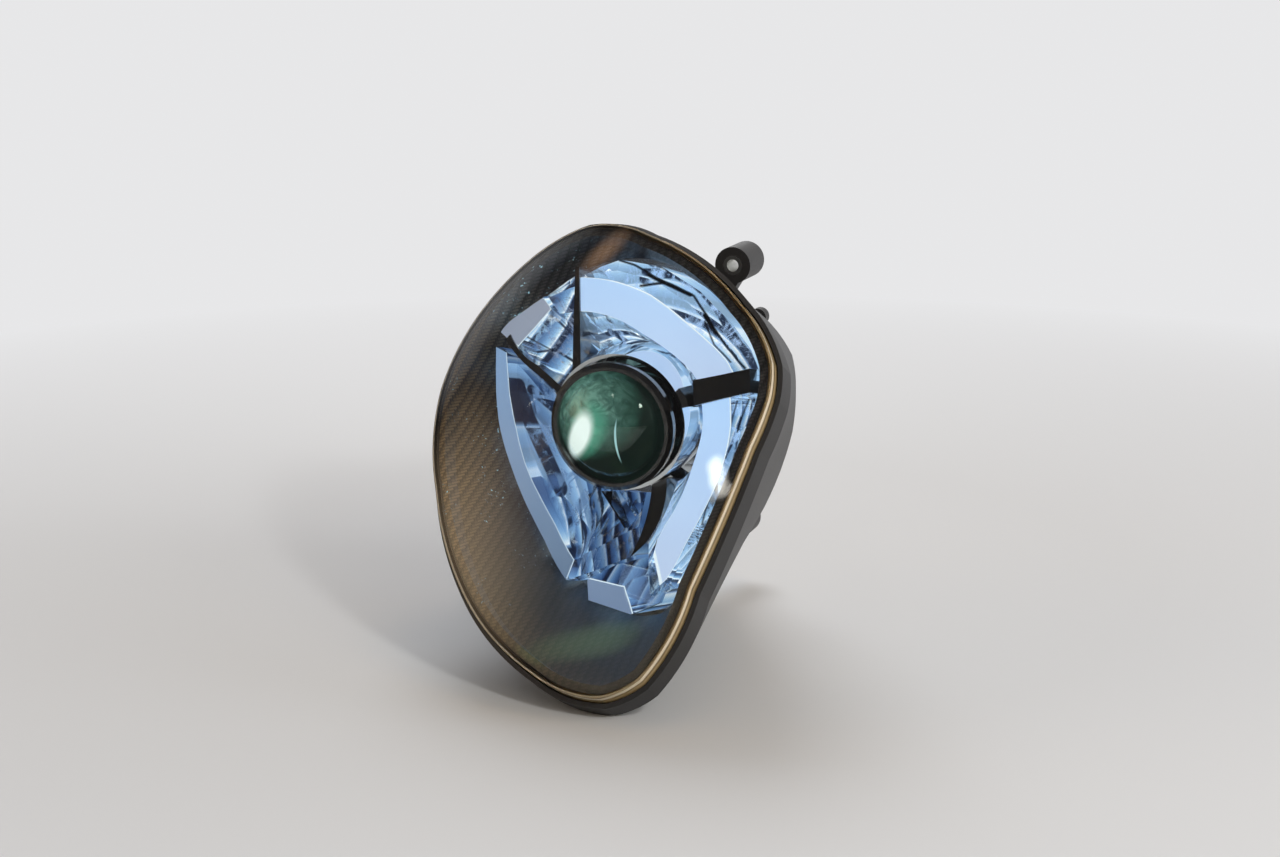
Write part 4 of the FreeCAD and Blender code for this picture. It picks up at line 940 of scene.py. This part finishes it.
# %% The rim of the imported cover
RIM_POINTS = 240
RIM_ON_FACE = 0.00005
RIM_SMOOTHING = np.array([1.0, 2.0, 3.0, 2.0, 1.0]) / 9.0


def read_off(collection, attribute, kind, width):
    """An attribute of all of a mesh's parts, as rows of that width."""
    values = np.empty(len(collection) * width, dtype=kind)
    collection.foreach_get(attribute, values)
    return values.reshape(-1, width)


def cover_rim():
    """The cover's upper edge on its own sheet, as the reach in evenly spaced directions."""
    data = nodes["cover_lens"].data
    on_wall = np.abs(read_off(data.polygons, "normal", float, 3) @ np.array(COVER_W)) < WALL_FACING
    corners = read_off(data.loops, "vertex_index", int, 1).reshape(-1, 3)[on_wall].ravel()
    points = read_off(data.vertices, "co", float, 3)[corners] - np.array(COVER_CENTRE)
    u, v, w = (points @ np.array(axis) for axis in (COVER_U, COVER_V, COVER_W))
    arm = np.hypot(u, w + COVER_PLAN_RADIUS) - (COVER_PLAN_RADIUS - COVER_SIDE_RADIUS)
    on_top = COVER_SIDE_RADIUS - np.hypot(arm, v) < RIM_ON_FACE
    rim = np.array(sorted(zip(np.arctan2(v[on_top], u[on_top]), np.hypot(u, v)[on_top]))).T
    turns = np.linspace(-math.pi, math.pi, RIM_POINTS, endpoint=False)
    reach = np.interp(turns, *rim, period=math.tau)
    return turns, sum(k * np.roll(reach, i - 2) for i, k in enumerate(RIM_SMOOTHING))


# %% The bead round the cover
BEAD_RADIUS = 0.0007
BEAD_INSET = 0.0009
BEAD_SIDES = 8
BEAD_SCALE = 60.0
# Painted edge highlight of the bead: pale outboard, gold inboard
BEAD_HIGHLIGHT_PALE = ((0.80, 0.72, 0.58), (0.96, 0.90, 0.78))
BEAD_HIGHLIGHT_GOLD = ((0.55, 0.40, 0.20), (0.86, 0.68, 0.40))
BEAD_HIGHLIGHT_RISE = (-0.02, 0.08)


def bead(name, material):
    """Circle of BEAD_RADIUS carried along the rim, just under the cover's outer face."""
    turns, reach = cover_rim()
    around = np.linspace(0, math.tau, BEAD_SIDES + 1)[:, None]
    out = reach - BEAD_INSET + BEAD_RADIUS * np.cos(around)
    sunk = BEAD_RADIUS * (1 + np.sin(around))
    u = out * np.cos(turns)
    v = out * np.sin(turns)
    arm = COVER_PLAN_RADIUS - COVER_SIDE_RADIUS + np.sqrt((COVER_SIDE_RADIUS - sunk) ** 2 - v * v)
    w = np.sqrt(arm * arm - u * u) - COVER_PLAN_RADIUS
    points = np.array(COVER_CENTRE) + sum(np.multiply.outer(part, np.array(axis)) for part, axis in (
        (u, COVER_U), (v, COVER_V), (w, COVER_W)))
    grid_piece(name, [points], material, "housing")


material, tree = new_material("ground_edge_highlight")
place = tree.place()
inboard = tree.along(place, INBOARD, AXIS_POINT).rise(*BEAD_HIGHLIGHT_RISE)
streaks = tree.noise(place, BEAD_SCALE)
# The bead's colour is a painted highlight, gold on the inboard side
bead_highlight_colour = tree.mix(inboard, tree.mix(streaks, *BEAD_HIGHLIGHT_PALE), tree.mix(streaks, *BEAD_HIGHLIGHT_GOLD))
tree.surface(tree.principled(base_color=bead_highlight_colour, roughness=0.25, coat_weight=0.5))
bead("cover_rim_highlight_bead", material)

# %% [markdown]
# ## The lens
# The lens is a solid glass dome with a green anti-reflection coating. What gives it depth is what its flat
# back face shows: the dish behind it, with painted light on it: a mottled green glow, and one painted
# highlight streak low on the outboard side with a glowing halo and a thin highlight thread. The finish is
# split by depth, as in the crystals, so the dome magnifies that face until it fills the ring. The dish
# itself has the same finish.

# %% What the lens magnifies
MOTTLE = dict(scale=150.0, detail=5.0, roughness=0.62, distortion=1.2)
# Painted green glow, mottled, that the lens magnifies
HAZE_GLOW_STOPS = [(0.0, (0.003, 0.007, 0.006)), (0.25, (0.024, 0.055, 0.047)),
              (0.55, (0.070, 0.130, 0.118)), (1.0, (0.20, 0.32, 0.29))]

# Centre and half axes of each spot, inboard and up from the optical axis
HAZE_SPOT = ((-0.018, 0.012), (0.036, 0.032))
HALO_SPOT = ((-0.0130, -0.004), (0.0120, 0.0180))
STREAK_SPOT = ((-0.0165, -0.007), (0.0092, 0.0190))
THREAD_SPOT = ((0.0, -0.008), (0.0007, 0.0125))

# The streak bows by z z times its bend; the thread bows about a height of its own
STREAK_LEAN = 0.22
STREAK_BEND = 9.0
THREAD_X = 0.001
THREAD_Z = 0.004
THREAD_BEND = 14.0
HAZE_GAIN = 2.0
HAZE_START = 0.25
HALO_BASE = 0.45
HALO_GAIN = 0.8
STREAK_GAIN = 2.4
THREAD_GAIN = 1.6
# Painted light: the halo's glow, and the streak's and the thread's highlights
HALO_GLOW_COLOUR = (0.13, 0.44, 0.33)
STREAK_HIGHLIGHT_COLOUR = (1.30, 1.12, 1.22)
THREAD_HIGHLIGHT_COLOUR = (0.50, 0.66, 0.78)


def dish_shader(tree):
    """What the lens magnifies, all painted light: near black inboard, a mottled green glow outboard, one
    highlight streak.
    """
    place = tree.place()
    x = tree.along(place, INBOARD, AXIS_POINT)
    z = tree.along(place, UP, AXIS_POINT)
    mottle = tree.noise(place, **MOTTLE)
    haze = spot(x, z, *HAZE_SPOT) * (mottle * HAZE_GAIN - HAZE_START).at_least(0.0)
    colour = tree.ramp(haze, HAZE_GLOW_STOPS)
    bow = x - z * STREAK_LEAN + z * z * STREAK_BEND
    halo = spot(bow, z, *HALO_SPOT) * (mottle + HALO_BASE) * HALO_GAIN
    colour = tree.mix(halo, colour, HALO_GLOW_COLOUR)
    streak = spot(bow, z, *STREAK_SPOT)
    colour = tree.mix((streak * streak * streak * STREAK_GAIN).at_most(1.0), colour, STREAK_HIGHLIGHT_COLOUR)
    height = z + THREAD_Z
    thread = spot(x - THREAD_X - height * height * THREAD_BEND, z, *THREAD_SPOT)
    colour = tree.mix((thread * THREAD_GAIN).at_most(1.0), colour, THREAD_HIGHLIGHT_COLOUR)
    return tree.principled(base_color=(0.01, 0.02, 0.018), roughness=0.25, specular_ior_level=0.2,
                           emission_color=colour, emission_strength=1.0)


# %% The lens and the dish behind it
LENS_BACK_SKIN = 0.0002
DISH_RADIUS = 0.0268
DISH_RIM_Y = -0.1857
DISH_HOLLOW = 0.007
DISH_EYE = 0.0005
DISH_ROWS = 25
DISH_STEPS = 96

material, tree = new_material("coated_lens")
glass = tree.principled(base_color=(0.86, 0.95, 0.91), roughness=0.0, ior=1.52, transmission_weight=1.0,
                        coat_weight=0.4, coat_tint=(0.5, 1.0, 0.75), coat_ior=1.6)
at_back = tree.along(tree.place(), BACKWARDS).above(lens_high.y - LENS_BACK_SKIN, DEPTH_SOFT)
tree.surface(tree.blend(at_back, glass, dish_shader(tree)))
dress(material, "projector_lens")

# The dish glows with painted light: a green glow and painted highlights
material, tree = new_material("dish_painted_light")
tree.surface(dish_shader(tree))
share = np.linspace(DISH_EYE, 1.0, DISH_ROWS)
dish_profile = np.column_stack([share * DISH_RADIUS, DISH_HOLLOW * (1 - share * share)])
dish = turned_grid(dish_profile, (AXIS_X, AXIS_Z), DISH_RIM_Y, DISH_STEPS)
grid_piece("projector_dish", [dish], material, "projector", closed=False)

# %% [markdown]
# ## Ring, spokes and plated parts
# The ring and the spokes are gloss black mouldings, and the drum round them is plated bright.
# A perfect gloss looks drawn, so a fine noise varies how rough each surface is.

# %% Ring, spokes and plated parts
GLOSS_SCALE = 180.0
GLOSS_CHANGE = 0.05


def gloss(name, colour, roughness, **extra):
    material, tree = new_material(name)
    rough = tree.noise(tree.place(), GLOSS_SCALE) * GLOSS_CHANGE + roughness
    tree.surface(tree.principled(base_color=colour, roughness=rough, **extra))
    return material


gloss_black = gloss("gloss_black", (0.012, 0.011, 0.010), 0.08, coat_weight=1.0)
smoked_black = gloss("smoked_black", (0.040, 0.035, 0.031), 0.16, coat_weight=0.8)
chrome = gloss("bright_plating", (0.86, 0.90, 0.95), 0.03, metallic=1.0)
dress(gloss_black, "lens_ring")
dress(smoked_black, "spoke_top", "spoke_upper_left", "spoke_inboard", "spoke_bottom")
dress(chrome, "collar", "backing_plate", "projector_barrel")

# %% [markdown]
# ## The fin in the left crystal
# A thin black fin is cast into the left crystal, so that the light from one comb doesn't wash
# over the next: a ruled block between two copies of one outline, at two depths behind the
# crystals' plane. A dark line in the material would have no side faces.

# %% The fin in the left crystal
FIN_OUTLINE = [(-0.0155, -0.0500), (-0.0141, -0.0503), (0.0041, -0.0724), (0.0032, -0.0732)]
FIN_FRONT = 0.0008
FIN_BACK = 0.0295
FIN_BEVEL = 0.0002
FIN_BEVEL_STEPS = 2

# Each corner lies at origin + A a + B b - N depth
flat = np.array(FIN_OUTLINE)
ring = np.array(CRYSTAL_PLANE) + np.outer(flat[:, 0], PLANE_A) + np.outer(flat[:, 1], PLANE_B)
points = np.concatenate([ring - np.array(PLANE_N) * depth for depth in (FIN_FRONT, FIN_BACK)])
count = len(flat)
faces = [tuple(range(count)), tuple(range(2 * count - 1, count - 1, -1))]
faces += [(i, (i + 1) % count, (i + 1) % count + count, i + count) for i in range(count)]
fin = new_piece("crystal_fin", points.tolist(), faces, gloss_black, "housing", smooth=False)
bevel = fin.modifiers.new("broken_edges", "BEVEL")
bevel.width = FIN_BEVEL
bevel.segments = FIN_BEVEL_STEPS

# %% [markdown]
# ## Housing and rear fittings
# What the body hides is plainer: talc-filled plastic with a fine spark-eroded grain, rubber,
# die-cast aluminium and zinc-plated steel. They differ in numbers alone, so they come from one
# table. A photograph of each grain would stretch over the curved walls.

# %% Housing and rear fittings
# Darker colour, paler colour, roughness, grain per metre, its depth in metres, metallic
GRAINED = {
    "housing_plastic": ((0.022, 0.022, 0.024), (0.034, 0.034, 0.036), 0.42, 1800.0, 0.00008, 0.0),
    "fitting_plastic": ((0.030, 0.030, 0.033), (0.045, 0.045, 0.049), 0.35, 2500.0, 0.00005, 0.0),
    "seal_rubber": ((0.012, 0.012, 0.012), (0.022, 0.022, 0.022), 0.62, 900.0, 0.00008, 0.0),
    "cast_aluminium": ((0.50, 0.51, 0.52), (0.64, 0.65, 0.66), 0.36, 1100.0, 0.00007, 1.0),
    "zinc_steel": ((0.56, 0.56, 0.54), (0.70, 0.70, 0.66), 0.24, 700.0, 0.00002, 1.0),
    "tinned_brass": ((0.55, 0.46, 0.30), (0.72, 0.62, 0.42), 0.22, 700.0, 0.00001, 1.0),
    "white_nylon": ((0.74, 0.73, 0.68), (0.82, 0.81, 0.76), 0.40, 900.0, 0.00004, 0.0),
    "circuit_board": ((0.02, 0.09, 0.04), (0.03, 0.13, 0.06), 0.30, 700.0, 0.00003, 0.0),
}
CLOUD_SCALE = 18.0
GRAIN_ROUGHNESS = 0.15
GRAIN_STRENGTH = 0.7


def grained(name, dark, pale, roughness, grain, depth, metallic):
    material, tree = new_material(name)
    place = tree.place()
    cloud = tree.noise(place, CLOUD_SCALE, 3.0)
    fine = tree.noise(place, grain, 2.0, 0.6)
    tree.surface(tree.principled(base_color=tree.mix(cloud, dark, pale), metallic=metallic,
                                 roughness=fine * GRAIN_ROUGHNESS + roughness,
                                 normal=tree.bump(fine, depth, GRAIN_STRENGTH)))
    return material


finish = {name: grained(name, *row) for name, row in GRAINED.items()}
dress(finish["housing_plastic"], "housing_front", "housing_rear")
dress(finish["fitting_plastic"], "service_cap", "connector", "leveller_motor", "pivot_brackets")
dress(finish["seal_rubber"], "cover_seal", "vent_cap")
dress(finish["cast_aluminium"], "control_unit", "heat_sink", "gimbal_frame", "projector_reflector")
dress(finish["zinc_steel"], "mount_bushes", "flange_screws")
dress(finish["white_nylon"], "leveller_rod", "aim_rod")
dress(finish["circuit_board"], "led_boards", "light_source")

# %% [markdown]
# ## The service cap's knurl
# From behind, the lamp shows what a fitter handles. The service cap has a knurled rim: a circle
# whose radius swells once per tooth. Teeth copied one by one would need joining.

# %% The service cap's knurl
cap_low, cap_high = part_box("service_cap")
socket_low, socket_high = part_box("connector")
REAR_WALL_Y = socket_low.y
CAP_FACE_Y = REAR_WALL_Y + 0.012
KNURL_RADIUS = (cap_high.x - cap_low.x) / 2 - 0.0004
KNURL_FRONT = CAP_FACE_Y - 0.0060
KNURL_BACK = CAP_FACE_Y - 0.0005
KNURL_TEETH = 40
KNURL_STEPS = 8 * KNURL_TEETH
KNURL_DEPTH = 0.0005
KNURL_ROUND = 0.0006
KNURL_THICK = 0.0030
TOOTHED_ROWS = [0, 1, 1, 0, 0, 0, 0]

# Ring about the cap's axis: radius = r + d |cos(n t / 2)|, rounded towards both rims
turn = np.linspace(0, math.tau, KNURL_STEPS, endpoint=False)
foot = KNURL_RADIUS - KNURL_ROUND
bore = KNURL_RADIUS - KNURL_THICK
profile = [(foot, KNURL_FRONT), (KNURL_RADIUS, KNURL_FRONT + KNURL_ROUND),
           (KNURL_RADIUS, KNURL_BACK - KNURL_ROUND), (foot, KNURL_BACK), (bore, KNURL_BACK),
           (bore, KNURL_FRONT), (foot, KNURL_FRONT)]
swell = np.outer(TOOTHED_ROWS, KNURL_DEPTH * np.abs(np.cos(KNURL_TEETH * turn / 2)))
knurl = turned_grid(profile, (AXIS_X, AXIS_Z), 0.0, KNURL_STEPS, swell)
grid_piece("cap_knurl", [knurl], finish["fitting_plastic"], "housing")

# %% [markdown]
# ## Pins, gear cover and screws
# The socket has eight pins, and the levelling motor a round gear cover and four screws. Each is
# a turned profile: radius, and height above the face that it stands on.

# %% Pins, gear cover and screws
PIN_PROFILE = [(0.0, 0.0028), (0.0008, 0.0028), (0.0008, 0.0110), (0.0004, 0.0118), (0.0, 0.0120)]
PIN_PITCH = 0.0055
PIN_STEPS = 20
GEAR_PROFILE = [(0.0, -0.0005), (0.0125, -0.0005), (0.0125, 0.0009), (0.0119, 0.0015), (0.0100, 0.0015),
                (0.0096, 0.0009), (0.0045, 0.0009), (0.0041, 0.0015), (0.0, 0.0015)]
GEAR_STEPS = 64
SCREW_PROFILE = [(0.0, -0.0005), (0.0021, -0.0005), (0.0021, 0.0006), (0.0015, 0.0012),
                 (0.0009, 0.0012), (0.0008, 0.0004), (0.0, 0.0004)]
SCREW_STEPS = 20
SCREW_ACROSS = 0.0118
SCREW_UP = 0.0138

motor_low, motor_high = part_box("leveller_motor")
socket_x, socket_z = middle(socket_low, socket_high)
motor_x, motor_z = middle(motor_low, motor_high)
pins = [(socket_x + column * PIN_PITCH, socket_z + row * PIN_PITCH)
        for column in (-1.5, -0.5, 0.5, 1.5) for row in (-0.5, 0.5)]
screws = [(motor_x + i * SCREW_ACROSS, motor_z + k * SCREW_UP) for i in (-1, 1) for k in (-1, 1)]
turned_set("socket_pins", PIN_PROFILE, pins, REAR_WALL_Y, PIN_STEPS, finish["tinned_brass"],
           "housing")
turned_set("motor_gear_cover", GEAR_PROFILE, [(motor_x, motor_z)], motor_high.y, GEAR_STEPS,
           finish["fitting_plastic"], "housing")
turned_set("motor_screws", SCREW_PROFILE, screws, motor_high.y, SCREW_STEPS, finish["zinc_steel"],
           "housing")

# %% [markdown]
# ## The ribs of the rear wall
# Thin ribs keep the moulded wall flat. Each is a half-round bar that runs out from the cap and
# tapers into the wall at both ends.

# %% The ribs of the rear wall
# The direction of each rib in degrees, and the distances from the cap's axis where it starts
# and ends
RIBS = [(76, 0.0372, 0.070), (104, 0.0372, 0.070), (163, 0.0372, 0.055), (182, 0.0560, 0.092),
        (198, 0.0372, 0.082), (214, 0.0372, 0.064), (246, 0.0372, 0.076), (312, 0.0372, 0.048)]
RIB_HALF = 0.0012
RIB_HEIGHT = 0.0020
RIB_SUNK = 0.0002
RIB_SIDES = 9
RIB_SHARES = np.array([0.0, 0.0, 0.03, 0.97, 1.0, 1.0])
RIB_SWELL = np.array([0.0, 0.6, 1.0, 1.0, 0.6, 0.0])


def rib(degrees, start, end):
    """Half-round bar on the wall: across = h cos t, height = H sin t, tapered at both ends."""
    arch = np.linspace(0, math.pi, RIB_SIDES)
    turn = math.radians(degrees)
    out = np.array([math.cos(turn), 0.0, math.sin(turn)])
    side = np.array([-math.sin(turn), 0.0, math.cos(turn)])
    reach = start + (end - start) * RIB_SHARES
    across = RIB_SWELL[:, None] * RIB_HALF * np.cos(arch)
    height = RIB_SWELL[:, None] * RIB_HEIGHT * np.sin(arch)
    foot = np.array([AXIS_X, REAR_WALL_Y - RIB_SUNK, AXIS_Z])
    return (foot + reach[:, None, None] * out + across[..., None] * side
            + height[..., None] * np.array(BACKWARDS))


grid_piece("rear_wall_ribs", [rib(*row) for row in RIBS], finish["housing_plastic"], "housing")
